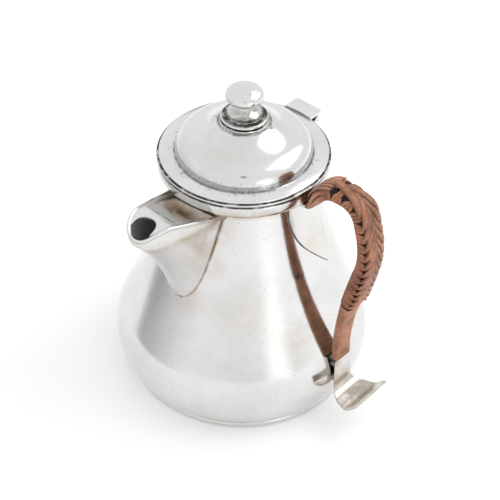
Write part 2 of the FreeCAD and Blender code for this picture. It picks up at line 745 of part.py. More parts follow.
peg = Part.makeCylinder(PEG_R, BELLY_R + (SHANK_OUT + HEEL_OUT) / 2, V(0, 0, PEG_Z), Y_AXIS)
handle_peg = peg.cut([body_outside, handle_strap])

# Cane

grip_route = stretch("rising", GRIP_START, "back", GRIP_END)
pad_low = PAD_SHIFT - PAD_HALF_T
pad_high = PAD_SHIFT + PAD_HALF_T
pad_outline = chamfered(2 * PAD_HALF_W, pad_low, pad_high, PAD_CORNER)
grip_padding = swept(pad_outline, grip_route).cut(strap_band)
binding_half = BINDING_T / 2


binding_route = stretch("back", GRIP_END, "shank", BINDING_END)
binding_outline = chamfered(BINDING_W, -binding_half, binding_half, BINDING_CORNER)
lower_binding = swept(binding_outline, binding_route).cut(strap_band)
root_route = stretch("root", ROOT_BINDING_START, "rising", GRIP_START)
root_binding = swept(binding_outline, root_route).cut([strap_band, leaf_outside])

plait_low = pad_high + 2 * (CANE_R + CANE_FREE)
plait_route = stretch("rising", PLAIT_START, "back", GRIP_END)
cane_plait = swept(crowned(PLAIT_W, plait_low, PLAIT_T), plait_route)


def winding():
    """One unbroken cane wound round the padding, and the least gap between its turns."""
    edges = route_edges(grip_route)
    lengths = [e.Length for e in edges]
    first = CANE_INSET + CANE_R
    pitch = (sum(lengths) - 2 * first) / CANE_LOOPS
    deep = PAD_HALF_T + CANE_R + CANE_FREE
    flat = PAD_HALF_W - PAD_HALF_T
    flat_share = flat / (2 * flat + math.pi * deep)

    def station(distance):
        """Point and direction on the route at a distance from its start."""
        for edge, length in zip(edges, lengths):
            if distance <= length:
                parameter = edge.getParameterByLength(distance)
                return edge.valueAt(parameter), edge.tangentAt(parameter)
            distance -= length
        return edges[-1].Vertexes[1].Point, edges[-1].tangentAt(edges[-1].LastParameter)

    def stop(distance, across, side):
        """Point of the winding at a distance along the route, on its inner or outer side."""
        point, ahead = station(distance)
        return point + X_AXIS * across + X_AXIS.cross(ahead) * (PAD_SHIFT + side * deep)

    lines = []
    for k in range(2 * CANE_LOOPS):
        side = 1 if k % 2 else -1
        enter = stop(first + pitch * (k / 2 - flat_share / 2), side * flat, side)
        leave = stop(first + pitch * (k / 2 + flat_share / 2), -side * flat, side)
        lines.append((enter, leave))
    path = []
    for k, (enter, leave) in enumerate(lines):
        path.append(line(enter, leave))
        if k + 1 < len(lines):
            after, beyond = lines[k + 1]
            path += biarc(leave, (leave - enter).normalize(), after, (beyond - after).normalize())

    trail = []
    for edge in path:
        trail += edge.discretize(Number=9)[:-1]
    turn = len(trail) // CANE_LOOPS
    least = pitch
    for i in range(len(trail)):
        for j in range(i + turn // 2, min(i + 2 * turn, len(trail))):
            least = min(least, (trail[i] - trail[j]).Length)

    start, leave = lines[0]
    head = (leave - start).normalize()
    side = Y_AXIS.cross(head).normalize()
    up = head.cross(side)
    corners = []
    for k in range(CANE_SIDES + 1):
        angle = 2 * math.pi * k / CANE_SIDES
        corners.append(start + side * (CANE_R * math.cos(angle)) + up * (CANE_R * math.sin(angle)))
    tube = Part.Wire(path).makePipeShell([Part.makePolygon(corners)], True, False)
    return tube, least - 2 * CANE_R


cane_winding, winding_gap = winding()
print("least gap between the winding's turns: %.2f mm" % winding_gap)

os.makedirs("parts", exist_ok=True)
pieces = {
    "body_shell": body_shell,
    "base_plate": base_plate,
    "foot_ring": foot_ring,
    "neck_collar": neck_collar,
    "spout_shell": spout_shell,
    "spout_cover": spout_cover,
    "spout_rim": spout_rim,
    "handle_strap": handle_strap,
    "handle_leaf": handle_leaf,
    "handle_peg": handle_peg,
    "grip_padding": grip_padding,
    "cane_winding": cane_winding,
    "cane_plait": cane_plait,
    "lower_binding": lower_binding,
    "root_binding": root_binding,
    "hinge_bracket": hinge_bracket,
    "hinge_pin": hinge_pin,
    "lid_dome": lid_dome,
    "lid_rim": lid_rim,
    "lid_bezel": lid_bezel,
    "lid_hinge_leaf": lid_hinge_leaf,
    "knob_base": knob_base,
    "knob_stem": knob_stem,
    "knob_ball": knob_ball,
    "knob_stud": knob_stud,
    "knob_nut": knob_nut,
}
for name, shape in pieces.items():
    save(name, shape)
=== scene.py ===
"""Looks of the silver coffee pot: smooth silver, cane binding, studio light and the photograph's camera."""

import math

import bpy
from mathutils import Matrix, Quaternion, Vector


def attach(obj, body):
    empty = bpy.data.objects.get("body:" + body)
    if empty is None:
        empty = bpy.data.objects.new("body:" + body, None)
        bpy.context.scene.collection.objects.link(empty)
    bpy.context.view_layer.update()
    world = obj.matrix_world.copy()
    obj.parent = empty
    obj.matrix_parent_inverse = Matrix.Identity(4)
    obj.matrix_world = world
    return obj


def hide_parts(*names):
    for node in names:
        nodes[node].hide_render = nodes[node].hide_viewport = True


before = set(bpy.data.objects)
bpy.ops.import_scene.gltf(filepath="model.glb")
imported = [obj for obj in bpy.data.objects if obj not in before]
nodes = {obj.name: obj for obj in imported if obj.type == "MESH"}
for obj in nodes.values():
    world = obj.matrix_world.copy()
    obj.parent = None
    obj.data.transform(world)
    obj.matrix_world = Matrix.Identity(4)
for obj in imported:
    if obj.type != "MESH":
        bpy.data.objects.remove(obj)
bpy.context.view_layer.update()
scene = bpy.context.scene

MM = 0.001

# Sizes repeated from the solids, in millimetres
FOOT_R = 54.2
FOOT_H = 3.6
FOOT_W = 3.0
FOOT_BULGE = 0.6
FOOT_LIP = 0.4  # body's base outside the foot ring
WALL = 1.1
BELLY_R = 61.8
BELLY_Z = 22.3
BELLY_HIGH_ARC = 36.0
FLANK_LEAN = 24.0  # degrees from upright where the belly passes into the flank
BELLY_IN = BELLY_R - FOOT_R - FOOT_LIP
BELLY_LOW_ARC = (BELLY_IN ** 2 + (BELLY_Z - FOOT_H) ** 2) / (2 * BELLY_IN)
NECK_R = 32.6
NECK_Z = 117.0
MOUTH_Z = 125.0
COLLAR_R = 40.0
COLLAR_H = 6.3
COLLAR_BULGE = 0.8
COLLAR_COVE = 1.1  # how much lower the collar meets the neck
STRAINER_Z = 98.0
STRAINER_HOLE_R = 1.8
STRAINER_PITCH = 5.6
STRAINER_RING = 6
SPOUT_REACH = 72.1
SPOUT_WALL = 1.0
KEEL_X = 46.0
KEEL_Z = 67.0
KEEL_LEAN = 75.0  # degrees from level where it leaves
CHIN_Z = 114.5  # where the keel ends and the upright lip starts
SPOUT_FOOT_Z = 56.0
SPOUT_BACK_X = 27.5  # back of every section, inside the body
WAIST_AT = 0.7  # where the hollow pulls, as part of the section's length
ROOT_HALF = (13.0, 15.5)  # half width at the back, lowest and highest section
WAIST_HALF = (10.8, 10.3)  # pull of the outline's hollow
NOSE_HALF = (5.8, 11.0)  # pull of the outline's nose
RIM_ROOT_X = 35.0
RIM_ROOT_Z = 115.9
RIM_TOP_X = 57.9
RIM_TOP_Z = 122.9
RIM_TIP_Z = 115.4
RIM_WIRE_R = 0.75
LID_Z = 125.3
LID_R = 39.0
LID_T = 1.1
FLANGE_T = 0.9
LID_RIM_R = 40.2
LID_RIM_H = 1.2
LID_RIM_W = 3.0
DOME_R = 31.7
DOME_FOOT = 0.9
SHOULDER_ARC = 9.6
SHOULDER_LEAN = 12.0  # slope where the shoulder passes into the hollow
OGEE_R = 16.5  # where the hollow passes into the crown
OGEE_LEAN = 40.0
CROWN_R = 10.5
CROWN_T = 1.4
STUD_HOLE = 1.55
KNOB_FLANGE_R = 11.2
KNOB_FLANGE_H = 0.9
KNOB_RING_R = 10.9
KNOB_RING_ARC = 1.0
KNOB_GROOVE_R = 8.5
KNOB_GROOVE_H = 0.4
STEM_DISC_R = 8.4
STEM_DISC_H = 0.9
STEM_TOP_R = 3.5
STEM_H = 5.8
STEM_FLARE = 14.0
BALL_R = 8.9
BALL_HALF = 4.9
BALL_SEAT_R = 4.3
STUD_BITE = 5.0

# Corners of the strap's route: y, z and the bend as a share of the shorter run
STRAP_ROUTE = [
    (29.6, 115.2, 0), (42.0, 118.1, 0.12), (51.2, 132.2, 0.367), (68.3, 132.2, 0.445), (74.9, 108.3, 0.429),
    (64.2, 62.0, 0.351), (62.2, 46.0, 0.402), (63.6, 17.0, 0.480), (75.5, 17.0, 0.254), (81.3, 23.0, 0),
]
ROOT_START = 0.87  # start of the root's cane, part of the first run
GRIP_START = 0.42  # start of the padding, part of the rising run
GRIP_END = 0.78  # end of the padding, part of the back's run
BINDING_END = 0.34  # end of the lower binding, part of the shank's run


# Profiles: lists of (radius, height)

BELLY_LOW_STEPS = 16
BELLY_HIGH_STEPS = 10
FLANK_STEPS = 30


def shares(steps):
    """Even shares from 0 to 1."""
    return [k / steps for k in range(steps + 1)]


def between(points, place, axis):
    """Other coordinate of a line of points where one is at a place; nothing past its ends."""
    for a, b in zip(points, points[1:]):
        if a[axis] <= place <= b[axis]:
            return a[1 - axis] + (b[1 - axis] - a[1 - axis]) * (place - a[axis]) / (b[axis] - a[axis])


def arc(centre, radius, start, end, count):
    """Points of an arc, angles in degrees."""
    points = []
    for k in range(count + 1):
        angle = math.radians(start + (end - start) * k / count)
        points.append((centre[0] + radius * math.cos(angle), centre[1] + radius * math.sin(angle)))
    return points


def arc_to(start, lean, end, count):
    """Points of the arc that leaves start in the direction lean (degrees) and reaches end."""
    chord = (end[0] - start[0], end[1] - start[1])
    swing = math.radians(lean) - math.atan2(chord[1], chord[0])
    swing = (swing + math.pi) % (2 * math.pi) - math.pi
    points = []
    for part in shares(count):
        share = math.sin(swing * part) / math.sin(swing)
        angle = math.radians(lean) - swing * part
        step = math.hypot(*chord) * share
        points.append((start[0] + step * math.cos(angle), start[1] + step * math.sin(angle)))
    return points


def body_profile(grow):
    """Outline of the body from its base to the neck, moved out by grow."""
    low = (BELLY_R - BELLY_LOW_ARC, BELLY_Z)
    high = (BELLY_R - BELLY_HIGH_ARC, BELLY_Z)
    tilt = math.degrees(math.asin((FOOT_H - grow - BELLY_Z) / (BELLY_LOW_ARC + grow)))
    points = arc(low, BELLY_LOW_ARC + grow, tilt, 0, BELLY_LOW_STEPS)
    points += arc(high, BELLY_HIGH_ARC + grow, 0, FLANK_LEAN, BELLY_HIGH_STEPS)[1:]
    points += arc_to(points[-1], 90 + FLANK_LEAN, (NECK_R + grow, NECK_Z), FLANK_STEPS)[1:]
    return points


def radius_at(height):
    """Outer radius of the body at a height."""
    return between(OUTLINE, height, 1) or NECK_R


OUTLINE = body_profile(0)


# Mesh makers

# Section of a cane strip: place across its width and height over its underside, as shares of width and thickness
STRIP_SECTION = ((-0.5, -0.1), (-0.5, 0.35), (-0.36, 0.85), (0, 1), (0.36, 0.85), (0.5, 0.35), (0.5, -0.1))
ON_AXIS = 1e-6


def finish_mesh(name, verts, faces, body, material, sharp=35):
    """Smooth mesh from millimetres, riding a body; edges over sharp degrees stay crisp."""
    mesh = bpy.data.meshes.new(name)
    mesh.from_pydata([Vector(v) * MM for v in verts], [], faces)
    mesh.validate()
    mesh.polygons.foreach_set("use_smooth", [True] * len(mesh.polygons))
    obj = bpy.data.objects.new(name, mesh)
    scene.collection.objects.link(obj)
    mesh.set_sharp_from_angle(angle=math.radians(sharp))
    mesh.materials.append(material)
    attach(obj, body)
    return obj


def bridge(a, b):
    """Faces between two rings of points."""
    return [(a[k], a[k + 1 - len(a)], b[k + 1 - len(b)], b[k]) for k in range(len(a))]


def closed_tube(first, rings, around):
    """Faces of a tube of rings, whose points are numbered from first, with both ends closed."""
    loops = [range(first + k * around, first + (k + 1) * around) for k in range(rings)]
    faces = [face for a, b in zip(loops, loops[1:]) for face in bridge(a, b)]
    return faces + [tuple(reversed(loops[0])), tuple(loops[-1])]


def lathe(name, profile, body, material, around=160, closed=True, sharp=35):
    """Solid of revolution; points on the axis become poles."""
    verts, rings = [], []
    for r, z in profile:
        if r < ON_AXIS:
            rings.append([len(verts)])
            verts.append((0, 0, z))
        else:
            rings.append(list(range(len(verts), len(verts) + around)))
            verts += [(r * math.cos(2 * math.pi * k / around), r * math.sin(2 * math.pi * k / around), z)
                      for k in range(around)]
    faces = []
    pairs = list(zip(rings, rings[1:]))
    if closed:
        pairs.append((rings[-1], rings[0]))
    for a, b in pairs:
        if len(a) == 1 and len(b) == 1:
            continue
        elif len(a) == 1:
            faces += [(a[0], b[k + 1 - around], b[k]) for k in range(around)]
        elif len(b) == 1:
            faces += [(a[k], a[k + 1 - around], b[0]) for k in range(around)]
        else:
            faces += bridge(a, b)
    return finish_mesh(name, verts, faces, body, material, sharp)


def strips(name, runs, material):
    """Flat crowned strips on the pot. A run is a list of (point, outward normal, width, thickness).

    The attribute crown is 1 along a strip's middle and 0 along its edges.
    """
    verts, faces, crown = [], [], []
    for run in runs:
        base = len(verts)
        for k, (p, normal, width, thick) in enumerate(run):
            ahead = (run[min(k + 1, len(run) - 1)][0] - run[max(k - 1, 0)][0]).normalized()
            across = ahead.cross(normal).normalized()
            up = across.cross(ahead).normalized()
            for a, h in STRIP_SECTION:
                verts.append(p + across * (a * width) + up * (h * thick))
                crown.append(max(0.0, 1 - (2 * abs(a)) ** 2))
        faces += closed_tube(base, len(run), len(STRIP_SECTION))
    obj = finish_mesh(name, verts, faces, "pot", material, sharp=60)
    values = obj.data.attributes.new("crown", "FLOAT", "POINT")
    values.data.foreach_set("value", crown)
    return obj


# Materials

def new_material(name):
    """Material with its node tree and shader."""
    material = bpy.data.materials.new(name)
    material.use_nodes = True
    tree = material.node_tree
    return material, tree, tree.nodes["Principled BSDF"]


def add(tree, kind, **values):
    """Shader node with values for its inputs and settings."""
    node = tree.nodes.new("ShaderNode" + kind)
    for key, value in values.items():
        if key in node.inputs:
            node.inputs[key].default_value = value
        else:
            setattr(node, key, value)
    return node


def ramp(tree, source, stops):
    """Colour ramp from (position, colour) stops."""
    node = add(tree, "ValToRGB")
    elements = node.color_ramp.elements
    while len(elements) < len(stops):
        elements.new(0.5)
    for element, (position, colour) in zip(elements, stops):
        element.position = position
        element.color = (*colour, 1)
    tree.links.new(source, node.inputs["Fac"])
    return node.outputs["Color"]


def noise(tree, place, scale, detail, roughness=0.5):
    """Value of a noise texture at a place."""
    node = add(tree, "TexNoise", Scale=scale, Detail=detail, Roughness=roughness)
    tree.links.new(place, node.inputs["Vector"])
    return node.outputs["Fac"]


def blend(tree, factor, a, b, mode="MIX"):
    """Mix or product of two colours."""
    node = add(tree, "Mix", data_type="RGBA", blend_type=mode)
    for source, key in ((factor, "Factor"), (a, "A"), (b, "B")):
        if isinstance(source, float):
            node.inputs[key].default_value = source
        elif isinstance(source, tuple):
            node.inputs[key].default_value = (*source, 1)
        else:
            tree.links.new(source, node.inputs[key])
    return node.outputs["Result"]


def math_node(tree, operation, a, b=0.0, c=None, clamp=False):
    """Result of a sum on numbers or sockets."""
    node = add(tree, "Math", operation=operation, use_clamp=clamp)
    for source, socket in zip((a, b, c), node.inputs):
        if source is None:
            continue
        if isinstance(source, (int, float)):
            socket.default_value = source
        else:
            tree.links.new(source, socket)
    return node.outputs[0]


def near(tree, value, target, width):
    """1 where value is at target, falling to 0 at width away."""
    away = math_node(tree, "ABSOLUTE", math_node(tree, "SUBTRACT", value, target))
    return math_node(tree, "SUBTRACT", 1.0, math_node(tree, "DIVIDE", away, width), clamp=True)


def steep(tree, value, start, gain):
    """0 up to start, then rising by gain to 1."""
    return math_node(tree, "MULTIPLY", math_node(tree, "SUBTRACT", value, start), gain, clamp=True)


SILVER = (0.715, 0.716, 0.712)
SILVER_DULL = (0.665, 0.66, 0.645)
SILVER_BRIGHT = (0.75, 0.755, 0.755)
PIT = (0.42, 0.36, 0.28)
PIT_START, PIT_GAIN = 0.64, 9.0
PATCH_START, PATCH_GAIN = 0.42, 5.0
CRUMB_GAIN, CRUMB_SHIFT = 14.0, -8.2
BLOTCH_GAIN, BLOTCH_SHIFT = 4.0, -1.2
ROUGH_LOW, ROUGH_HIGH = 0.7, 1.5  # spread of the roughness about its written value


def silver(name, stains_and_shade=(), rough=0.2, dents=0.25):
    """Worn silver. Bands and spots are (axis, place mm, width mm, colour, strength); some are tarnish, some painted
    shade.

    The axis is radius, height, specks (fine dots by radius) or spot (a point).
    """
    material, tree, shader = new_material(name)
    link = tree.links.new
    place = add(tree, "TexCoord").outputs["Object"]
    split = add(tree, "SeparateXYZ")
    link(place, split.inputs[0])
    flat = add(tree, "VectorMath", operation="MULTIPLY")
    flat.inputs[1].default_value = (1, 1, 0)
    link(place, flat.inputs[0])
    reach = add(tree, "VectorMath", operation="LENGTH")
    link(flat.outputs[0], reach.inputs[0])
    axes = {"radius": reach.outputs["Value"], "specks": reach.outputs["Value"], "height": split.outputs["Z"]}

    cloud = noise(tree, place, 34.0, 5.0, 0.6)
    colour = ramp(tree, cloud, [(0.35, SILVER_DULL), (0.5, SILVER), (0.7, SILVER_BRIGHT)])
    pits = steep(tree, noise(tree, place, 1100.0, 2.0), PIT_START, PIT_GAIN)
    patches = steep(tree, noise(tree, place, 60.0, 3.0), PATCH_START, PATCH_GAIN)
    colour = blend(tree, math_node(tree, "MULTIPLY", pits, patches), colour, PIT)
    blotch = noise(tree, place, 190.0, 5.0, 0.7)
    crumbs = noise(tree, place, 520.0, 3.0, 0.6)
    for axis, target, width, tint, strength in stains_and_shade:
        if axis == "spot":
            away = add(tree, "VectorMath", operation="DISTANCE")
            away.inputs[1].default_value = Vector(target) * MM
            link(place, away.inputs[0])
            mask = near(tree, away.outputs["Value"], 0.0, width * MM)
        else:
            mask = near(tree, axes[axis], target * MM, width * MM)
        if axis == "specks":
            torn = math_node(tree, "MULTIPLY_ADD", crumbs, CRUMB_GAIN, CRUMB_SHIFT, clamp=True)
        else:
            torn = math_node(tree, "MULTIPLY_ADD", blotch, BLOTCH_GAIN, BLOTCH_SHIFT, clamp=True)
        broken = math_node(tree, "MULTIPLY", mask, math_node(tree, "MULTIPLY", torn, strength), clamp=True)
        colour = blend(tree, broken, colour, tint)
    link(colour, shader.inputs["Base Color"])
    shader.inputs["Metallic"].default_value = 1.0

    grain = noise(tree, place, 240.0, 6.0, 0.65)
    spread = add(tree, "MapRange")
    spread.inputs["To Min"].default_value = rough * ROUGH_LOW
    spread.inputs["To Max"].default_value = rough * ROUGH_HIGH
    link(grain, spread.inputs["Value"])
    link(spread.outputs["Result"], shader.inputs["Roughness"])

    bump = add(tree, "Bump", Strength=dents, Distance=0.0012)
    link(noise(tree, place, 26.0, 2.0, 0.4), bump.inputs["Height"])
    fine = add(tree, "Bump", Strength=0.05, Distance=0.0002)
    link(grain, fine.inputs["Height"])
    link(bump.outputs["Normal"], fine.inputs["Normal"])
    link(fine.outputs["Normal"], shader.inputs["Normal"])
    return material


STREAK_SHARE, PATCH_SHARE = 0.4, 0.6
STRIP_DARKEST, STRIP_LIGHTEST = (0.75, 0.72, 0.7), (1.15, 1.12, 1.1)
# Tones by a strip's crown: painted shade fading out towards the middle, and a painted highlight on the middle
CROWN_MID, CROWN_HIGHLIGHT = (0.96, 0.95, 0.94), (1.1, 1.1, 1.1)


def cane(name, light, dark, edge):
    """Split cane: streaky brown, a little glossy; edge is the painted shade along a strip's edges, and a painted
    highlight runs along its middle.
    """
    material, tree, shader = new_material(name)
    link = tree.links.new
    place = add(tree, "TexCoord").outputs["Object"]
    streak = noise(tree, place, 900.0, 4.0, 0.7)
    patch = math_node(tree, "MULTIPLY", noise(tree, place, 130.0, 4.0, 0.6), PATCH_SHARE)
    tone = math_node(tree, "MULTIPLY_ADD", streak, STREAK_SHARE, patch)
    middle = tuple((a + b) / 2 for a, b in zip(light, dark))
    colours = ramp(tree, tone, [(0.36, dark), (0.5, middle), (0.63, light)])
    geometry = add(tree, "NewGeometry")
    worn = ramp(tree, geometry.outputs["Random Per Island"], [(0, STRIP_DARKEST), (1, STRIP_LIGHTEST)])
    # Painted shade along the strips' edges, where they meet, and a painted highlight along their middle
    crown = add(tree, "Attribute", attribute_name="crown")
    shade = (edge, edge * 0.9, edge * 0.83)
    edges = ramp(tree, crown.outputs["Fac"], [(0, shade), (0.7, CROWN_MID), (1, CROWN_HIGHLIGHT)])
    shaded = blend(tree, 1.0, colours, worn, "MULTIPLY")
    link(blend(tree, 1.0, shaded, edges, "MULTIPLY"), shader.inputs["Base Color"])
    shader.inputs["Roughness"].default_value = 0.42
    shader.inputs["Specular IOR Level"].default_value = 0.45
    bump = add(tree, "Bump", Strength=0.35, Distance=0.0003)
    link(streak, bump.inputs["Height"])
    link(bump.outputs["Normal"], shader.inputs["Normal"])
    return material


WARM = (0.40, 0.26, 0.14)
BLUE = (0.30, 0.34, 0.40)
GREY = (0.46, 0.44, 0.40)
DARK = (0.05, 0.045, 0.04)
body_silver = silver("body_silver", [
    # brown band on the neck just under the collar: painted shade
    ("height", 117.0, 5.0, WARM, 1.0),
    # grey band on the base just above the foot ring, under the belly's overhang: painted shade
    ("height", 4.5, 3.0, GREY, 0.6),
    ("spot", (37.0, 17.0, 107.0), 11.0, (0.56, 0.44, 0.33), 0.75),
    ("spot", (41.0, 15.5, 90.0), 10.0, (0.58, 0.48, 0.38), 0.7),
    ("spot", (46.5, 7.0, 70.0), 11.0, (0.58, 0.49, 0.40), 0.7),
    ("spot", (20.0, 53.0, 52.0), 16.0, (0.52, 0.45, 0.37), 0.5),
    ("spot", (5.0, 62.0, 30.0), 12.0, (0.42, 0.36, 0.30), 0.7),
    ("spot", (33.0, 33.0, 66.0), 16.0, (0.62, 0.54, 0.45), 0.4),
], 0.12, 0.08)
trim_silver = silver("trim_silver", rough=0.14, dents=0.08)
# Grey line along the foot ring's top edge, under the belly's overhang: painted shade
foot_silver = silver("foot_silver", [("height", 3.6, 0.7, GREY, 0.8)], 0.15, 0.08)
collar_silver = silver("collar_silver", [
    # brown band on the collar's lower part and underside: painted shade
    ("height", 118.6, 2.6, WARM, 1.1),
    ("height", 121.5, 3.0, (0.50, 0.45, 0.38), 0.6),
    # dark line just below the lid's bead: painted shade of the gap between lid and collar
    ("height", 124.5, 0.7, DARK, 1.8),
], 0.14, 0.08)
bead_silver = silver("bead_silver", [
    # dark lines where the bead sits on the collar and where it meets the flange: painted shade in the gaps
    ("height", 125.3, 0.4, DARK, 1.6),
    ("height", 126.5, 0.3, DARK, 1.4),
], 0.14, 0.05)
lid_silver = silver("lid_silver", [
    # bluish band and dark line where the dome rises from the flange: painted shade in the crease
    ("radius", 32.2, 1.2, BLUE, 0.45),
    ("radius", 32.0, 0.4, (0.12, 0.13, 0.15), 1.1),
    ("specks", 33.0, 2.4, (0.20, 0.19, 0.18), 0.9),
    ("specks", 13.0, 2.5, (0.20, 0.17, 0.13), 0.9),
    # dark ring round the knob's foot: painted shade
    ("radius", 11.9, 1.0, DARK, 0.9),
], 0.14, 0.03)
knob_silver = silver("knob_silver", [
    # dark lines in the knob's grooves and at the stem's disc: painted shade
    ("height", 145.2, 0.35, DARK, 1.3),
    ("height", 147.3, 0.45, DARK, 1.3),
    ("height", 148.6, 0.3, DARK, 0.9),
    # grey band on the stem and darker band on the ball's underside: painted shade under the ball
    ("height", 150.5, 2.6, (0.38, 0.36, 0.34), 0.9),
    ("height", 154.2, 1.6, (0.30, 0.29, 0.28), 1.1),
], 0.1, 0.005)
spout_silver = silver("spout_silver", [
    ("height", 113.0, 5.0, (0.56, 0.45, 0.34), 0.6),
    ("height", 72.0, 9.0, (0.60, 0.52, 0.43), 0.5),
    ("spot", (42.0, 13.0, 100.0), 13.0, (0.58, 0.48, 0.37), 0.6),
], 0.16, 0.08)
# Brown band at the back of the cover, below the collar: painted shade
cover_silver = silver("cover_silver", [("height", 113.5, 3.0, (0.45, 0.38, 0.28), 0.8)], 0.16, 0.08)
strap_silver = silver("strap_silver", [
    ("height", 22.0, 9.0, (0.50, 0.44, 0.36), 0.9),
    ("height", 17.0, 2.5, (0.34, 0.27, 0.20), 0.8),
], 0.2, 0.12)
leaf_silver = silver("leaf_silver", [("height", 92.0, 16.0, (0.62, 0.55, 0.44), 0.5)], 0.16, 0.12)
# Brown for the seams along the spout and for the painted shadow line under the spout's bead
seam_and_shadow_silver = silver("seam_and_shadow_silver", [("height", 90.0, 60.0, (0.42, 0.32, 0.22), 1.1)], 0.35, 0.2)
# Near black for the painted shade lines along the leaf's edge and the cover's fold
shade_line_silver = silver("shade_line_silver", [("height", 95.0, 60.0, (0.10, 0.07, 0.05), 1.5)], 0.35, 0.2)
inside_silver = silver("inside_silver", [("height", 108.0, 14.0, (0.50, 0.48, 0.45), 0.6)], 0.55, 0.1)
inside_silver.node_tree.nodes["Principled BSDF"].inputs["Metallic"].default_value = 0.25
cane_brown = cane("cane_brown", (0.57, 0.25, 0.14), (0.156, 0.060, 0.033), 0.3)
cane_wound = cane("cane_wound", (0.60, 0.26, 0.143), (0.195, 0.075, 0.039), 0.78)
cane_pale = cane("cane_pale", (0.70, 0.345, 0.20), (0.234, 0.10, 0.055), 0.35)
packing, packing_tree, packing_shader = new_material("packing")
packing_noise = add(packing_tree, "TexNoise", Scale=500.0, Detail=3.0)
packing_ramp = ramp(packing_tree, packing_noise.outputs["Fac"],
                    [(0.3, (0.008, 0.005, 0.004)), (0.7, (0.03, 0.018, 0.012))])
packing_tree.links.new(packing_ramp, packing_shader.inputs["Base Color"])
packing_shader.inputs["Roughness"].default_value = 0.9


# Body, foot and collar

SHY = 0.05  # how far a bulge stays inside its solid
DRILL_X = 38.0
DRILL_DEPTH = 20.0
DRILL_AROUND = 24

inner = body_profile(-WALL)
wall = [(0, FOOT_H)] + OUTLINE + [(NECK_R, MOUTH_Z), (NECK_R - WALL, MOUTH_Z)]
wall += inner[::-1] + [(0, FOOT_H + WALL)]
body = lathe("pot_body", wall, "pot", body_silver, closed=False)
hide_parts("body_shell", "base_plate")


def drill(target, holes):
    """Cuts round holes through the wall along X."""
    cutters = []
    for y, z in holes:
        bpy.ops.mesh.primitive_cylinder_add(vertices=DRILL_AROUND, radius=STRAINER_HOLE_R * MM, depth=DRILL_DEPTH * MM,
                                            location=(DRILL_X * MM, y * MM, z * MM), rotation=(0, math.pi / 2, 0))
        cutters.append(bpy.context.object)
        cut = target.modifiers.new("hole", "BOOLEAN")
        cut.object = cutters[-1]
        cut.operation = "DIFFERENCE"
        cut.solver = "EXACT"
    graph = bpy.context.evaluated_depsgraph_get()
    mesh = bpy.data.meshes.new_from_object(target.evaluated_get(graph))
    target.modifiers.clear()
    target.data = mesh
    for cutter in cutters:
        bpy.data.objects.remove(cutter)


holes = [(0, STRAINER_Z)]
for k in range(STRAINER_RING):
    angle = 2 * math.pi * k / STRAINER_RING
    holes.append((STRAINER_PITCH * math.cos(angle), STRAINER_Z + STRAINER_PITCH * math.sin(angle)))
drill(body, holes)

FOOT_EASE = 0.3  # rounding of the ring's edges, across and up
FOOT_EASE_Z = 0.1
FOOT_LEAN = 30  # degrees from level where the bulge starts
FOOT_STEPS = 6
foot_in = FOOT_R - FOOT_W
foot_bulge = arc_to((FOOT_R, FOOT_EASE_Z), FOOT_LEAN, (FOOT_R + FOOT_BULGE - SHY, FOOT_H / 2), FOOT_STEPS)
foot = [(foot_in, FOOT_H), (foot_in, 0), (FOOT_R - FOOT_EASE, 0)] + foot_bulge
foot += [(r, FOOT_H - z) for r, z in foot_bulge[-2::-1]]
foot += [(FOOT_R - FOOT_EASE, FOOT_H)]
piece = lathe("pot_foot", foot, "pot", foot_silver)
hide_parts("foot_ring")

COLLAR_EASE = 0.4  # rounding of the collar's edges
COLLAR_FULLNESS = 2.6  # power of the bulge's outline
COLLAR_STEPS = 16
low = MOUTH_Z - COLLAR_H
edge = COLLAR_R - COLLAR_BULGE
collar = [(NECK_R, MOUTH_Z), (NECK_R, low - COLLAR_COVE), (edge - COLLAR_EASE, low)]
for part in shares(COLLAR_STEPS):
    height = low + COLLAR_H * part
    collar.append((edge + (COLLAR_BULGE - SHY) * (1 - abs(2 * part - 1) ** COLLAR_FULLNESS), height))
collar += [(edge - COLLAR_EASE, MOUTH_Z)]
piece = lathe("pot_collar", collar, "pot", collar_silver)
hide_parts("neck_collar")


# Lid and knob

FLANGE_EASE = 0.15  # rounding of the flange's edge
DOME_FILLET = 0.5  # fillet where the dome rises from the flange
DOME_FILLET_MID = 0.12
DOME_INSIDE_FROM = 60  # degrees over which the inside of the shoulder is round
BEAD_IN = 0.7  # centre of the bead's half round inside its radius
BEAD_HALF = 0.68
BEAD_GAP = 0.02
BEAD_STEPS = 12
KNOB_AROUND = 96
KNOB_EASE = 0.1
KNOB_EASE_Z = 0.3
KNOB_EASE_TOP = 0.15
BALL_STEPS = 28

flange_low = LID_Z + LID_RIM_H
flange_top = flange_low + FLANGE_T
shoulder_z = flange_top + DOME_FOOT
shoulder = (DOME_R - SHOULDER_ARC, shoulder_z)
turn = 90 - SHOULDER_LEAN
mean = math.radians((SHOULDER_LEAN + OGEE_LEAN) / 2)
dome = [(DOME_R - LID_T, flange_low), (LID_R, flange_low)]
dome += [(LID_R, flange_top - FLANGE_EASE), (LID_R - FLANGE_EASE, flange_top), (DOME_R + DOME_FILLET, flange_top)]
dome += [(DOME_R + DOME_FILLET_MID, flange_top + DOME_FILLET_MID), (DOME_R, flange_top + DOME_FILLET)]
dome += arc(shoulder, SHOULDER_ARC, 0, turn, 20)
top = dome[-1]
ogee = (OGEE_R, top[1] + (top[0] - OGEE_R) * math.tan(mean))
crown = (CROWN_R, ogee[1] + (OGEE_R - CROWN_R) * math.tan(mean))
dome += arc_to(top, 180 - SHOULDER_LEAN, ogee, 12)[1:]
dome += arc_to(ogee, 180 - OGEE_LEAN, crown, 10)[1:]
seat_z = crown[1]
ceiling = seat_z - CROWN_T
dome += [(STUD_HOLE, seat_z), (STUD_HOLE, ceiling), (CROWN_R, ceiling), (ogee[0] - LID_T, ogee[1] - CROWN_T)]
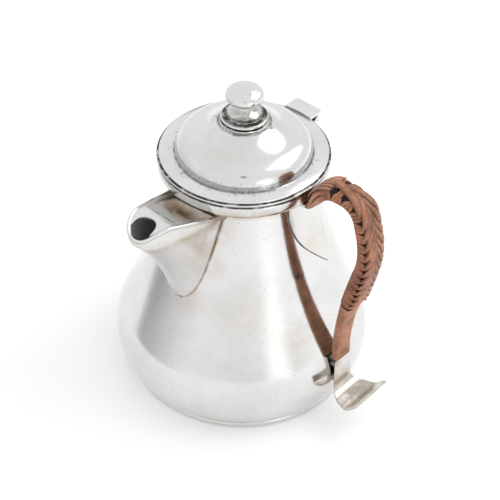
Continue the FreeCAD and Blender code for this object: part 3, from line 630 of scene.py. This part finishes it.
dome += [(top[0], top[1] - CROWN_T)]
dome += arc(shoulder, SHOULDER_ARC - LID_T, DOME_INSIDE_FROM, 0, 8)
piece = lathe("lid_cover", dome, "lid", lid_silver, sharp=50)
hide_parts("lid_dome")

rim_in = LID_RIM_R - LID_RIM_W
bead = [(rim_in, flange_low - BEAD_GAP), (rim_in, LID_Z)]
for part in shares(BEAD_STEPS):
    angle = math.radians(-90 + 180 * part)
    height = LID_Z + LID_RIM_H / 2 * (1 + math.sin(angle)) - BEAD_GAP * part
    bead.append((LID_RIM_R - BEAD_IN + BEAD_HALF * math.cos(angle), height))
piece = lathe("lid_bead", bead, "lid", bead_silver)
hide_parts("lid_rim")

ring_z = seat_z + KNOB_FLANGE_H + KNOB_RING_ARC
ring_in = KNOB_RING_R - KNOB_RING_ARC
groove_z = ring_z + KNOB_RING_ARC
stem_z = groove_z + KNOB_GROOVE_H
flange_edge = (KNOB_FLANGE_R - KNOB_EASE_TOP, seat_z + KNOB_FLANGE_H - KNOB_EASE)
base = [(STUD_HOLE, stem_z), (STUD_HOLE, seat_z), (KNOB_FLANGE_R - KNOB_EASE, seat_z)]
base += [(KNOB_FLANGE_R, seat_z + KNOB_EASE_Z), flange_edge, (ring_in, seat_z + KNOB_FLANGE_H)]
base += arc((ring_in, ring_z), KNOB_RING_ARC, -80, 90, 14)
base += [(KNOB_GROOVE_R, groove_z), (KNOB_GROOVE_R - KNOB_GROOVE_H, stem_z)]
piece = lathe("knob_moulding", base, "lid", knob_silver, KNOB_AROUND)
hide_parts("knob_base")

disc_z = stem_z + STEM_DISC_H
ball_z = stem_z + STEM_H
stem = [(STUD_HOLE, ball_z), (STUD_HOLE, stem_z)]
stem += [(STEM_DISC_R - KNOB_EASE_Z, stem_z), (STEM_DISC_R, stem_z + KNOB_EASE_Z)]
stem += arc_to((STEM_DISC_R, disc_z), 180 - STEM_FLARE, (STEM_TOP_R, ball_z), 14)
piece = lathe("knob_trumpet", stem, "lid", knob_silver, KNOB_AROUND, sharp=55)
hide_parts("knob_stem")

seat = math.degrees(math.acos(BALL_SEAT_R / BALL_R))
centre_z = ball_z + BALL_HALF * math.sin(math.radians(seat))
ball = [(0, ball_z + STUD_BITE), (STUD_HOLE, ball_z + STUD_BITE), (STUD_HOLE, ball_z)]
for part in shares(BALL_STEPS):
    angle = math.radians(-seat + (90 + seat) * part)
    radius = BALL_R * math.cos(angle) if part < 1 else 0
    ball.append((radius, centre_z + BALL_HALF * math.sin(angle)))
piece = lathe("knob_button", ball, "lid", knob_silver, KNOB_AROUND, closed=False)
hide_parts("knob_ball")


# Spout: columns of points from the body's seam to the nose, each from the keel up to the rim

SPOUT_COLUMNS = 28
SPOUT_ROWS = 44
COLUMN_POWER = 1.25  # columns close up towards the nose
ROW_POWER = 0.9
KEEL_START = 1.2  # lowest row over the keel's start
RIM_OUT = 1.8  # how far the rim's line runs past the tip
HALVINGS = 40
SETTLE_STEPS = 30


def keel_at(height):
    """Reach of the keel at a height."""
    leave = math.radians(KEEL_LEAN)
    chord = (SPOUT_REACH - KEEL_X, CHIN_Z - KEEL_Z)
    swing = leave - math.atan2(chord[1], chord[0])
    radius = math.hypot(*chord) / (2 * math.sin(swing))
    cx = KEEL_X + math.sin(leave) * radius
    cz = KEEL_Z - math.cos(leave) * radius
    return cx - math.sqrt(radius ** 2 - (height - cz) ** 2)


def outline_at(height, t):
    """Point of the spout's level outline; t runs from the back to the nose."""
    part = min(1.0, (height - SPOUT_FOOT_Z) / (CHIN_Z - SPOUT_FOOT_Z))
    nose = keel_at(min(height, CHIN_Z))
    mix = [a + (b - a) * part for a, b in (ROOT_HALF, WAIST_HALF, NOSE_HALF)]
    waist = SPOUT_BACK_X + (nose - SPOUT_BACK_X) * WAIST_AT
    poles = [(SPOUT_BACK_X, mix[0]), (waist, mix[1]), (nose, mix[2]), (nose, 0)]
    weights = ((1 - t) ** 3, 3 * t * (1 - t) ** 2, 3 * t * t * (1 - t), t ** 3)
    return (sum(w * p[0] for w, p in zip(weights, poles)), sum(w * p[1] for w, p in zip(weights, poles)))


def seam_at(height):
    """Where the level outline leaves the body, as a value of t."""
    lo, hi = 0.0, 1.0
    reach = radius_at(height)
    for _ in range(HALVINGS):
        t = (lo + hi) / 2
        x, y = outline_at(height, t)
        if math.hypot(x, y) < reach:
            lo = t
        else:
            hi = t
    return hi


RIM_SLOPE = (RIM_TOP_Z - RIM_ROOT_Z) / (RIM_TOP_X - RIM_ROOT_X)
RIM_NOSE = arc_to((RIM_TOP_X, RIM_TOP_Z), math.degrees(math.atan(RIM_SLOPE)), (SPOUT_REACH + RIM_OUT, RIM_TIP_Z), 20)


def rim_at(x):
    """Height of the rim over x."""
    if x <= RIM_TOP_X:
        return RIM_ROOT_Z + (x - RIM_ROOT_X) * RIM_SLOPE
    return between(RIM_NOSE, x, 0) or RIM_TIP_Z


def spout_point(share, height):
    """Point of the trough at a height; share runs from the body's seam to the nose."""
    start = seam_at(height)
    return outline_at(height, start + (1 - start) * share)


verts, faces, rim = [], [], []
lowest = KEEL_Z + KEEL_START
columns = []
for side in (1, -1):
    span = range(SPOUT_COLUMNS + 1) if side == 1 else range(SPOUT_COLUMNS - 1, -1, -1)
    for i in span:
        share = 1 - (1 - i / SPOUT_COLUMNS) ** COLUMN_POWER
        high = RIM_ROOT_Z
        for _ in range(SETTLE_STEPS):
            high = rim_at(spout_point(share, high)[0])
        column = []
        for part in shares(SPOUT_ROWS):
            height = lowest + (high - lowest) * part ** ROW_POWER
            x, y = spout_point(share, height)
            column.append(len(verts))
            verts.append((x, side * y, height))
        columns.append(column)
        rim.append(verts[column[-1]])
for a, b in zip(columns, columns[1:]):
    for j in range(SPOUT_ROWS):
        faces.append((a[j], b[j], b[j + 1], a[j + 1]))
piece = finish_mesh("spout_trough", verts, faces, "pot", spout_silver, sharp=80)
shell = piece.modifiers.new("wall", "SOLIDIFY")
shell.thickness = SPOUT_WALL * MM
shell.offset = 1
shell.material_offset = 1
shell.material_offset_rim = 1
piece.data.materials.clear()
piece.data.materials.append(inside_silver)
piece.data.materials.append(spout_silver)
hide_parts("spout_shell")


def tube(name, points, radius, material):
    """Round wire on the pot through points."""
    curve = bpy.data.curves.new(name, "CURVE")
    curve.dimensions = "3D"
    curve.bevel_depth = radius * MM
    curve.bevel_resolution = 4
    spline = curve.splines.new("POLY")
    spline.points.add(len(points) - 1)
    for slot, point in zip(spline.points, points):
        slot.co = (*(Vector(point) * MM), 1)
    curve.use_fill_caps = True
    curve.materials.append(material)
    obj = bpy.data.objects.new(name, curve)
    scene.collection.objects.link(obj)
    spline.use_smooth = True
    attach(obj, "pot")
    return obj


BEAD_SINK = 0.35  # bead below the trough's edge
piece = tube("spout_bead", [(x, y, z - BEAD_SINK) for x, y, z in rim], RIM_WIRE_R, trim_silver)
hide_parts("spout_rim")


# Dark lines: a painted shadow under the bead, seams along the trough's sides and a painted shadow along the leaf's
# near edge

BEAD_SHADOW_R = 0.2
BEAD_SHADOW_DROP = 1.15
BEAD_SHADOW_X, BEAD_SHADOW_Y = 1.006, 1.05  # stretch that brings the painted shadow line out to the trough's outside
SPOUT_SEAM_R = 0.42
SPOUT_SEAM_OUT = 0.1
SPOUT_SEAM_START = 0.4  # seam's ends over the lowest row and under the rim's root
SPOUT_SEAM_STOP = 3.5
SPOUT_SEAM_STEPS = 30
LEAF_SHADOW_R = 0.3
LEAF_SHADOW_OUT = 0.25

# Painted shadow under the spout's bead: a dark tube just below the wire
line = [(x * BEAD_SHADOW_X, y * BEAD_SHADOW_Y, z - BEAD_SHADOW_DROP) for x, y, z in rim]
piece = tube("bead_shadow_line", line, BEAD_SHADOW_R, seam_and_shadow_silver)

seam = []
for side in (1, -1):
    line = []
    for part in shares(SPOUT_SEAM_STEPS):
        height = lowest + SPOUT_SEAM_START + (RIM_ROOT_Z - SPOUT_SEAM_STOP - lowest) * part
        x, y = outline_at(height, seam_at(height))
        line.append((x + SPOUT_SEAM_OUT, side * y, height))
    seam += line[::-1] if side == 1 else line
piece = tube("spout_seam", seam, SPOUT_SEAM_R, seam_and_shadow_silver)


# Points of the leaf's near edge, as x and height, and the direction in which it starts, in degrees
LEAF_TOP = (6.0, MOUTH_Z - 8.2)
LEAF_MIDDLE = (0.5, LEAF_TOP[1] - 26.8)
LEAF_TIP = (-14.0, LEAF_TOP[1] - 41.3)
LEAF_LEAN = -70.8878
near_edge = arc_to(LEAF_TOP, LEAF_LEAN, LEAF_MIDDLE, 20)
leave = math.degrees(math.atan2(near_edge[-1][1] - near_edge[-2][1], near_edge[-1][0] - near_edge[-2][0]))
near_edge += arc_to(near_edge[-1], leave, LEAF_TIP, 16)[1:]
# Painted shadow along the leaf plate's near edge: a near black tube just off the body
edge_line = []
for x, z in near_edge:
    reach = radius_at(z) + LEAF_SHADOW_OUT
    edge_line.append((x, math.sqrt(reach ** 2 - x ** 2), z))
piece = tube("leaf_edge_shadow", edge_line, LEAF_SHADOW_R, shade_line_silver)


# Painted shade line along the cover's fold

FOLD_X = SPOUT_REACH - 17.1
FOLD_HALF = 10.0
FOLD_SINK = 0.3
CREASE_SHADE_R = 0.17
fold_z = rim_at(FOLD_X) - FOLD_SINK
piece = tube("cover_fold_shade", [(FOLD_X, FOLD_HALF * k / 8, fold_z) for k in range(-8, 9)], CREASE_SHADE_R, shade_line_silver)


# Handle route: stations (point, direction outwards) by distance

BEND_STEPS = 24
TRIES_PER_POINT = 8
TINY = 1e-9
SIDE = Vector((1, 0, 0))


def route_points():
    """Dense points of the strap's centre line in the (y, z) plane, runs joined by arcs."""
    points = [Vector((y, z)) for y, z, _ in STRAP_ROUTE]
    path = [points[0]]
    for k in range(1, len(points) - 1):
        back = points[k - 1] - points[k]
        ahead = points[k + 1] - points[k]
        half = back.angle(ahead) / 2
        bend = STRAP_ROUTE[k][2] * min(back.length, ahead.length) * math.tan(half)
        back.normalize()
        ahead.normalize()
        middle = (back + ahead).normalized()
        centre = points[k] + middle * (bend / math.sin(half))
        start = points[k] + back * (bend / math.tan(half)) - centre
        sweep = math.pi - 2 * half
        way = 1 if start.x * ahead.y - start.y * ahead.x > 0 else -1
        for part in shares(BEND_STEPS):
            angle = way * sweep * part
            path.append(centre + Vector((start.x * math.cos(angle) - start.y * math.sin(angle),
                                         start.x * math.sin(angle) + start.y * math.cos(angle))))
    path.append(points[-1])
    return path


ROUTE = route_points()
LENGTHS = [0.0]
for a, b in zip(ROUTE, ROUTE[1:]):
    LENGTHS.append(LENGTHS[-1] + (b - a).length)


def station(distance):
    """Centre point and outward direction of the strap at a distance from its start."""
    k = 0
    while k < len(ROUTE) - 2 and LENGTHS[k + 1] < distance:
        k += 1
    part = (distance - LENGTHS[k]) / max(LENGTHS[k + 1] - LENGTHS[k], TINY)
    point = ROUTE[k].lerp(ROUTE[k + 1], part)
    a = ROUTE[min(k + 2, len(ROUTE) - 1)] - ROUTE[max(k - 1, 0)]
    a.normalize()
    return Vector((0, point.x, point.y)), Vector((0, -a.y, a.x))


def distance_of(run, part):
    """Distance along the route of a point on a run."""
    a = Vector(STRAP_ROUTE[run][:2])
    b = Vector(STRAP_ROUTE[run + 1][:2])
    target = a.lerp(b, part)
    tries = len(ROUTE) * TRIES_PER_POINT
    best = min(range(tries), key=lambda k: (station(LENGTHS[-1] * k / tries)[0].yz - target).length)
    return LENGTHS[-1] * best / tries


grip_from = distance_of(1, GRIP_START)
grip_to = distance_of(4, GRIP_END)
binding_to = distance_of(6, BINDING_END)


# Half width and reach of the packing to the inner and outer side, by distance
PACKING_FORM = [
    (grip_from, 5.5, 1.95, 3.45), (grip_to - 32, 5.5, 1.95, 3.45), (grip_to - 18, 5.5, 2.7, 3.45),
    (grip_to - 7, 5.4, 3.0, 3.1), (grip_to, 5.2, 2.9, 2.3), (grip_to + 9, 5.0, 2.3, 1.5),
    (binding_to, 4.9, 1.4, 1.2),
]


def packing_form(distance):
    """Half width, inner reach and outer reach of the packing."""
    for a, b in zip(PACKING_FORM, PACKING_FORM[1:]):
        if distance <= b[0]:
            part = max(0.0, (distance - a[0]) / (b[0] - a[0]))
            return [u + (v - u) * part for u, v in zip(a[1:], b[1:])]
    return PACKING_FORM[-1][1:]


def signed_power(value, power):
    """Power of a value's size, with its sign kept."""
    return math.copysign(abs(value) ** power, value)


def eased(share):
    """0 to 1 with a smooth start and end; stays at 1 past it."""
    share = min(1.0, share)
    return share * share * (3 - 2 * share)


def past(part, start):
    """0 up to start, then rising to 1 where part is 1."""
    return max(0.0, part - start) / (1 - start)


def oval_point(distance, angle, lift, power, form=None):
    """Point on a rounded box round the strap, lift above the packing, and its outward normal."""
    point, out = station(distance)
    half_w, inward, outward = form or packing_form(distance)
    half_w += lift
    half_t = (inward + outward) / 2 + lift
    shift = (outward - inward) / 2
    c, s = math.cos(angle), math.sin(angle)
    place = point + SIDE * (half_w * signed_power(c, power)) + out * (shift + half_t * signed_power(s, power))
    normal = SIDE * (signed_power(c, 2 - power) / half_w) + out * (signed_power(s, 2 - power) / half_t)
    return place, normal.normalized()


def sleeve(name, start, end, lift, power, material, form=None, count=60, around=40):
    """Closed sweep of a rounded box along the strap."""
    verts = [oval_point(start + (end - start) * i / count, 2 * math.pi * j / around, lift, power, form)[0]
             for i in range(count + 1) for j in range(around)]
    return finish_mesh(name, verts, closed_tube(0, count + 1, around), "pot", material, sharp=60)


GRIP_POWER, SHANK_POWER, ROOT_POWER = 0.5, 0.45, 0.6  # squareness of the sections; 1 is an ellipse
STRIP_T, FINE_T = 0.8, 0.4
piece = sleeve("grip_core", grip_from, grip_to, 0.0, GRIP_POWER, packing)
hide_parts("grip_padding")


GATHER_START, GATHER_GAIN = 0.12, 1.5
GATHERED_W = 0.35  # width left where the strands are fully gathered
WOBBLE_FAST, WOBBLE_SLOW, WOBBLE_APART = 0.37, 0.081, 5


def helix(way, turns, lift, power, width, thick, per_turn=40, wobble=0.0, strand=0.0, gather=0.0):
    """Run of a strip wound round the strap; way gives the distance after a number of turns.

    Strand is its place across the winding as a share of the pitch, and the strands gather on the back.
    """
    run = []
    count = int(turns * per_turn)
    for k in range(count + 1):
        turn = turns * k / count
        angle = 2 * math.pi * turn - math.pi / 2
        close = 1 - gather * min(1.0, max(0.0, math.sin(angle) + GATHER_START) * GATHER_GAIN)
        pitch = way(turn + 0.5) - way(turn - 0.5)
        place, normal = oval_point(way(turn) + strand * pitch * close, angle, lift, power)
        jitter = wobble * math.sin(k * WOBBLE_FAST + WOBBLE_APART * strand) * math.sin(k * WOBBLE_SLOW)
        narrow = GATHERED_W + (1 - GATHERED_W) * close
        run.append((place, normal, width * pitch * (1 + jitter) * narrow, thick))
    return run


PITCH_FIRST, PITCH_LAST, STRANDS = 5.9, 3.3, 3
WIND_LIFT, WIND_WOBBLE, WIND_GATHER = 0.1, 0.08, 0.55
wind_from, wind_to = grip_from + 9.0, grip_to - 1.3
wind_turns = round((wind_to - wind_from) * 2 / (PITCH_FIRST + PITCH_LAST))


def wound_to(turn):
    """Distance of the grip's winding after a number of turns; the pitch closes towards the lower end."""
    share = turn / wind_turns
    ease = (PITCH_LAST - PITCH_FIRST) / (PITCH_FIRST + PITCH_LAST)
    return wind_from + (wind_to - wind_from) * (share * (1 - ease) + share * share * ease)


wound = [helix(wound_to, wind_turns, WIND_LIFT, GRIP_POWER, 1 / STRANDS, STRIP_T, wobble=WIND_WOBBLE,
               strand=(k - (STRANDS - 1) / 2) / STRANDS, gather=WIND_GATHER) for k in range(STRANDS)]
piece = strips("cane_wrap", wound, cane_wound)
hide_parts("cane_winding")

FINE_PITCH = 1.15
FINE_LIFT, FINE_WOBBLE = 0.12, 0.12
fine_turns = round((binding_to - grip_to + 1.0) / FINE_PITCH)
fine_from, fine_to = grip_to - 0.4, binding_to - FINE_PITCH / 2


def bound_to(turn):
    """Distance of the lower binding after a number of turns."""
    return fine_from + (fine_to - fine_from) * turn / fine_turns


fine = helix(bound_to, fine_turns, FINE_LIFT, SHANK_POWER, 1.0, FINE_T, per_turn=32, wobble=FINE_WOBBLE)
core = sleeve("shank_core", grip_to - 0.2, binding_to - 0.3, 0.02, SHANK_POWER, packing, count=30, around=32)
piece = strips("cane_shank", [fine], cane_pale)
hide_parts("lower_binding")


# Plait on the outer back: two sets of slanting strips, one to each turn, that lap over each other on the middle line

BRAID_TURNS = 3.0  # turns of the winding that a strip passes
BRAID_START = 0.25  # first strip, in turns of the winding
BRAID_STOP = 0.3  # turns left free at the lower end
BRAID_W = 0.72  # width as a share of the pitch
BRAID_T = 0.6
BRAID_LAP = 1.3  # start past the middle line
BRAID_END = 5.9  # end from the middle line
BRAID_ROLL = 0.22  # tilt along the strap, so that each strip lies on the next
BRAID_LIFT = 0.5
BRAID_LOWER = 0.45  # share of the rise that is lost over the last stretch
BRAID_LOWER_OVER = 9  # length of that stretch
BRAID_DIP = 0.5  # drop at the middle line, under the other side's strips
BRAID_TUCK_AT, BRAID_TUCK = 0.72, 1.5  # where a strip bends down, and how far
BRAID_TAPER_AT, BRAID_TAPER = 0.75, 0.45  # where it narrows, and by what share
BRAID_ROUND, BRAID_TIP = 0.06, 0.7  # sideways tilt by distance from the middle line, and more where it tucks in
BRAID_UNEVEN = 0.08
BRAID_STEPS = 20


def back_strip(start, side):
    """Strip over the back from near the middle line to the edge, where it bends down and tucks in."""
    run = []
    for part in shares(BRAID_STEPS):
        across = side * (-BRAID_LAP + (BRAID_END + BRAID_LAP) * part)
        turn = start + BRAID_TURNS * part
        distance = wound_to(turn)
        pitch = wound_to(turn + 0.5) - wound_to(turn - 0.5)
        point, out = station(distance)
        ahead = station(distance + 0.5)[0] - point
        low_end = min(1.0, max(0.0, (distance - grip_to + BRAID_LOWER_OVER) / BRAID_LOWER_OVER))
        rise = packing_form(distance)[2] + (STRIP_T + BRAID_LIFT) * (1 - BRAID_LOWER * low_end)
        rise -= BRAID_DIP * (1 - part) ** 3 + BRAID_TUCK * past(part, BRAID_TUCK_AT) ** 2
        lean = BRAID_ROUND * across + side * BRAID_TIP * max(0.0, part - BRAID_TUCK_AT)
        tilt = out + SIDE * lean - ahead.normalized() * BRAID_ROLL
        width = BRAID_W * pitch * (1 - BRAID_TAPER * past(part, BRAID_TAPER_AT))
        width *= 1 + BRAID_UNEVEN * math.sin(start * 9 + side)
        run.append((point + SIDE * across + out * rise, tilt.normalized(), width, BRAID_T))
    return run


braid = []
braid_rows = int(wind_turns - BRAID_STOP - BRAID_START - BRAID_TURNS) + 1
for k in range(braid_rows):
    braid.append(back_strip(BRAID_START + k, 1))
    braid.append(back_strip(BRAID_START + k + 0.5, -1))
piece = strips("cane_braid", braid, cane_brown)
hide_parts("cane_plait")


# Root of the grip: strips that fan out over its back and strips all round it, from the collar to under the plait

FAN = 6
FAN_HALF = 5.3  # half width of the fan where it is open
FAN_CLOSED = 0.45  # share of that width at the collar
FAN_OPEN_AT = 0.45  # where the fan is open, and where it has risen, as shares of its length
FAN_HIGH_AT = 0.5
FAN_LOW, FAN_HIGH = 0.9, 4.35
FAN_DROOP = 0.5  # how much lower the outer strips lie
FAN_TILT = 0.25
FAN_W, FAN_T = 2.0, 0.55
FAN_PAST = 13.0  # how far the fan and the strips run on past the grip's start
ROOT_PAST = 9.5
ROOT_FORM = (4.05, 0.74, 1.2)
ROOT_STRIPS = 14
ROOT_FULL_AT = 0.7  # where the strips have reached the grip's form
ROOT_LIFT = 0.04
ROOT_STRIP_POWER = 0.55
ROOT_W, ROOT_T = (1.5, 0.8), (0.36, 0.3)  # width and thickness at the collar, and what they gain
ROOT_STEPS = 24

root_from = distance_of(0, ROOT_START)
fan = []
for k in range(FAN):
    across = -1 + 2 * k / (FAN - 1)
    run = []
    for part in shares(ROOT_STEPS):
        spread = FAN_HALF * (FAN_CLOSED + (1 - FAN_CLOSED) * min(1.0, part / FAN_OPEN_AT))
        point, out = station(root_from + (grip_from + FAN_PAST - root_from) * part)
        rise = FAN_LOW + (FAN_HIGH - FAN_LOW) * eased(part / FAN_HIGH_AT) - FAN_DROOP * abs(across) ** 3
        place = point + SIDE * (spread * across) + out * rise
        run.append((place, out + SIDE * (FAN_TILT * across), FAN_W * spread / FAN_HALF, FAN_T))
    fan.append(run)
core = sleeve("root_core", root_from, grip_from + 0.5, 0.0, ROOT_POWER, packing, ROOT_FORM, 24, 32)
grip_form = packing_form(grip_from)
for k in range(ROOT_STRIPS):
    angle = 2 * math.pi * (k + 0.5) / ROOT_STRIPS
    run = []
    for part in shares(ROOT_STEPS):
        swell = eased(part / ROOT_FULL_AT)
        form = [a + (b - a) * swell for a, b in zip(ROOT_FORM, grip_form)]
        along = root_from + (grip_from + ROOT_PAST - root_from) * part
        place, normal = oval_point(along, angle, ROOT_LIFT, ROOT_STRIP_POWER, form)
        run.append((place, normal, ROOT_W[0] + ROOT_W[1] * swell, ROOT_T[0] + ROOT_T[1] * swell))
    fan.append(run)
piece = strips("cane_root", fan, cane_pale)
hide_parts("root_binding")


# Finish of the solids that show

OWN_SILVER = {"handle_strap": strap_silver, "handle_leaf": leaf_silver, "spout_cover": cover_silver}
for name in ("spout_cover", "handle_strap", "handle_leaf", "handle_peg", "hinge_bracket", "hinge_pin",
             "lid_bezel", "lid_hinge_leaf", "knob_stud", "knob_nut"):
    node = nodes[name]
    node.data.materials.clear()
    node.data.materials.append(OWN_SILVER.get(name, trim_silver))


# Floor, in metres: pale, with the same white added for the camera, for reflections and for what glass shows

FLOOR_SIZE = 5.0
FLOOR_Z = -0.0002
FLOOR_NEAR, FLOOR_FAR = (0.95, 0.95, 0.95), (0.92, 0.92, 0.92)
FLOOR_WHITE = 0.195
FLOOR_WHITE_PER_METRE = 0.06

floor_material, floor_tree, floor_shader = new_material("floor_white")
floor_shader.inputs["Roughness"].default_value = 0.9
floor_shader.inputs["Specular IOR Level"].default_value = 0.0
floor_shader.inputs["Emission Color"].default_value = (1, 1, 1, 1)
floor_link = floor_tree.links.new
floor_place = add(floor_tree, "TexCoord")
floor_length = add(floor_tree, "VectorMath", operation="LENGTH")
floor_link(floor_place.outputs["Object"], floor_length.inputs[0])
floor_reach = floor_length.outputs["Value"]
floor_half = math_node(floor_tree, "MULTIPLY", floor_reach, 0.5)
floor_link(ramp(floor_tree, floor_half, [(0.12, FLOOR_NEAR), (0.5, FLOOR_FAR)]), floor_shader.inputs["Base Color"])
rays = add(floor_tree, "LightPath").outputs
floor_seen = math_node(floor_tree, "MAXIMUM", rays["Is Camera Ray"], rays["Is Glossy Ray"])
floor_seen = math_node(floor_tree, "MAXIMUM", floor_seen, rays["Is Transmission Ray"])
floor_white = math_node(floor_tree, "MULTIPLY", floor_reach, FLOOR_WHITE_PER_METRE)
floor_white = math_node(floor_tree, "ADD", floor_white, FLOOR_WHITE)
floor_link(math_node(floor_tree, "MULTIPLY", floor_seen, floor_white), floor_shader.inputs["Emission Strength"])
bpy.ops.mesh.primitive_plane_add(size=FLOOR_SIZE, location=(0, 0, FLOOR_Z))
floor = bpy.context.object
floor.name = "floor"
floor.data.materials.append(floor_material)


# Room: white to the camera and in reflections, and a plain level of light

ROOM_LIGHT = 0.83
WHITE = 1.0

world = bpy.data.worlds.new("studio")
scene.world = world
world.use_nodes = True
tree = world.node_tree
tree.nodes.clear()
out = add(tree, "OutputWorld")
path = add(tree, "LightPath")


def background(level):
    """Even grey or white all round."""
    return add(tree, "Background", Color=(level, level, level, 1), Strength=1.0).outputs[0]


def pick(ray, other, seen):
    """One shader for a kind of ray and another for the rest."""
    node = add(tree, "MixShader")
    tree.links.new(path.outputs[ray], node.inputs["Fac"])
    tree.links.new(other, node.inputs[1])
    tree.links.new(seen, node.inputs[2])
    return node.outputs[0]


sky = pick("Is Glossy Ray", background(ROOM_LIGHT), background(WHITE))
sky = pick("Is Camera Ray", sky, background(WHITE))
tree.links.new(sky, out.inputs["Surface"])


# Lamp, in metres and watts

KEY_AT = Vector((-0.50, 0.42, 0.78))
KEY_TARGET = Vector((0, 0, 0.10))
KEY_SIZE = (0.85, 0.65)
KEY_POWER = 2.6

key_data = bpy.data.lights.new("key_light", "AREA")
key_data.shape = "RECTANGLE"
key_data.size, key_data.size_y = KEY_SIZE
key_data.energy = KEY_POWER
key = bpy.data.objects.new("key_light", key_data)
key.location = KEY_AT
key.rotation_euler = (KEY_TARGET - KEY_AT).to_track_quat("-Z", "Y").to_euler()
scene.collection.objects.link(key)


# Camera, lens and sensor in millimetres

LENS = 119.7
SENSOR = 36.0
CAMERA_AT = Vector((458.2, 396.0, 589.1)) * MM
CAMERA_TARGET = Vector((-2.3, 2.7, 66.4)) * MM
CAMERA_ROLL = 0.0169

camera_data = bpy.data.cameras.new("camera")
camera_data.lens = LENS
camera_data.sensor_width = SENSOR
camera_data.clip_start = 0.01
camera = bpy.data.objects.new("camera", camera_data)
scene.collection.objects.link(camera)
camera.location = CAMERA_AT
aim = CAMERA_TARGET - CAMERA_AT
camera.rotation_mode = "QUATERNION"
camera.rotation_quaternion = aim.to_track_quat("-Z", "Y") @ Quaternion((0, 0, 1), CAMERA_ROLL)
scene.camera = camera


# Cards that shape the reflections, in metres: a glow, a grey flag and a dark card behind the camera

GLOW_AT = Vector((0.17, 0.55, 0.14))
GLOW_TARGET = Vector((0, 0, 0.07))
GLOW_HALF = (0.21, 0.22)
GLOW_STRENGTH = 1.75
FLAG_AT = Vector((0.653, -0.757, 0)) * 0.21 + Vector((0, 0, 0.02))
FLAG_TARGET = Vector((0, 0, 0.05))
FLAG_HALF = (0.30, 0.20)
FLAG_GREY = (0.42, 0.43, 0.45, 1)
DARK_CARD_AT = CAMERA_AT * 1.04
DARK_CARD_HALF = (0.04, 0.065)
DARK_CARD_BLACK = (0.02, 0.02, 0.022, 1)


def fading_material(name):
    """Material with an empty tree, a mask that fades from a card's middle to its edge, and where its shader goes."""
    material = bpy.data.materials.new(name)
    material.use_nodes = True
    tree = material.node_tree
    tree.nodes.clear()
    place = add(tree, "TexCoord")
    ball = add(tree, "TexGradient", gradient_type="QUADRATIC_SPHERE")
    tree.links.new(place.outputs["Object"], ball.inputs["Vector"])
    return material, tree, ball.outputs["Fac"], add(tree, "OutputMaterial").inputs["Surface"]


def card(name, place, target, half, material):
    """Flat card that faces a target; the camera doesn't see it."""
    bpy.ops.mesh.primitive_plane_add(size=2.0, location=place)
    obj = bpy.context.object
    obj.name = name
    obj.scale = (*half, 1)
    obj.rotation_euler = (target - place).to_track_quat("Z", "Y").to_euler()
    obj.data.materials.append(material)
    obj.visible_camera = False
    return obj


glow_material, glow_tree, glow_mask, glow_out = fading_material("soft_glow")
glow_light = add(glow_tree, "Emission")
glow_sum = add(glow_tree, "AddShader")
for source, socket in (
        (math_node(glow_tree, "MULTIPLY", glow_mask, GLOW_STRENGTH), glow_light.inputs["Strength"]),
        (glow_light.outputs[0], glow_sum.inputs[0]),
        (add(glow_tree, "BsdfTransparent").outputs[0], glow_sum.inputs[1]),
        (glow_sum.outputs[0], glow_out)):
    glow_tree.links.new(source, socket)
glow = card("glow_card", GLOW_AT, GLOW_TARGET, GLOW_HALF, glow_material)

flag_material, flag_tree, flag_mask, flag_out = fading_material("soft_flag")
flag_mix = add(flag_tree, "MixShader")
for source, socket in (
        (flag_mask, flag_mix.inputs[0]),
        (add(flag_tree, "BsdfTransparent").outputs[0], flag_mix.inputs[1]),
        (add(flag_tree, "BsdfDiffuse", Color=FLAG_GREY).outputs[0], flag_mix.inputs[2]),
        (flag_mix.outputs[0], flag_out)):
    flag_tree.links.new(source, socket)
flag = card("flag_card", FLAG_AT, FLAG_TARGET, FLAG_HALF, flag_material)
flag.visible_diffuse = False
flag.visible_shadow = False

dark_material, _, dark_shader = new_material("camera_black")
dark_shader.inputs["Base Color"].default_value = DARK_CARD_BLACK
dark_shader.inputs["Roughness"].default_value = 0.7
dark = card("camera_card", DARK_CARD_AT, DARK_CARD_AT - aim, DARK_CARD_HALF, dark_material)

scene.view_settings.view_transform = "Standard"
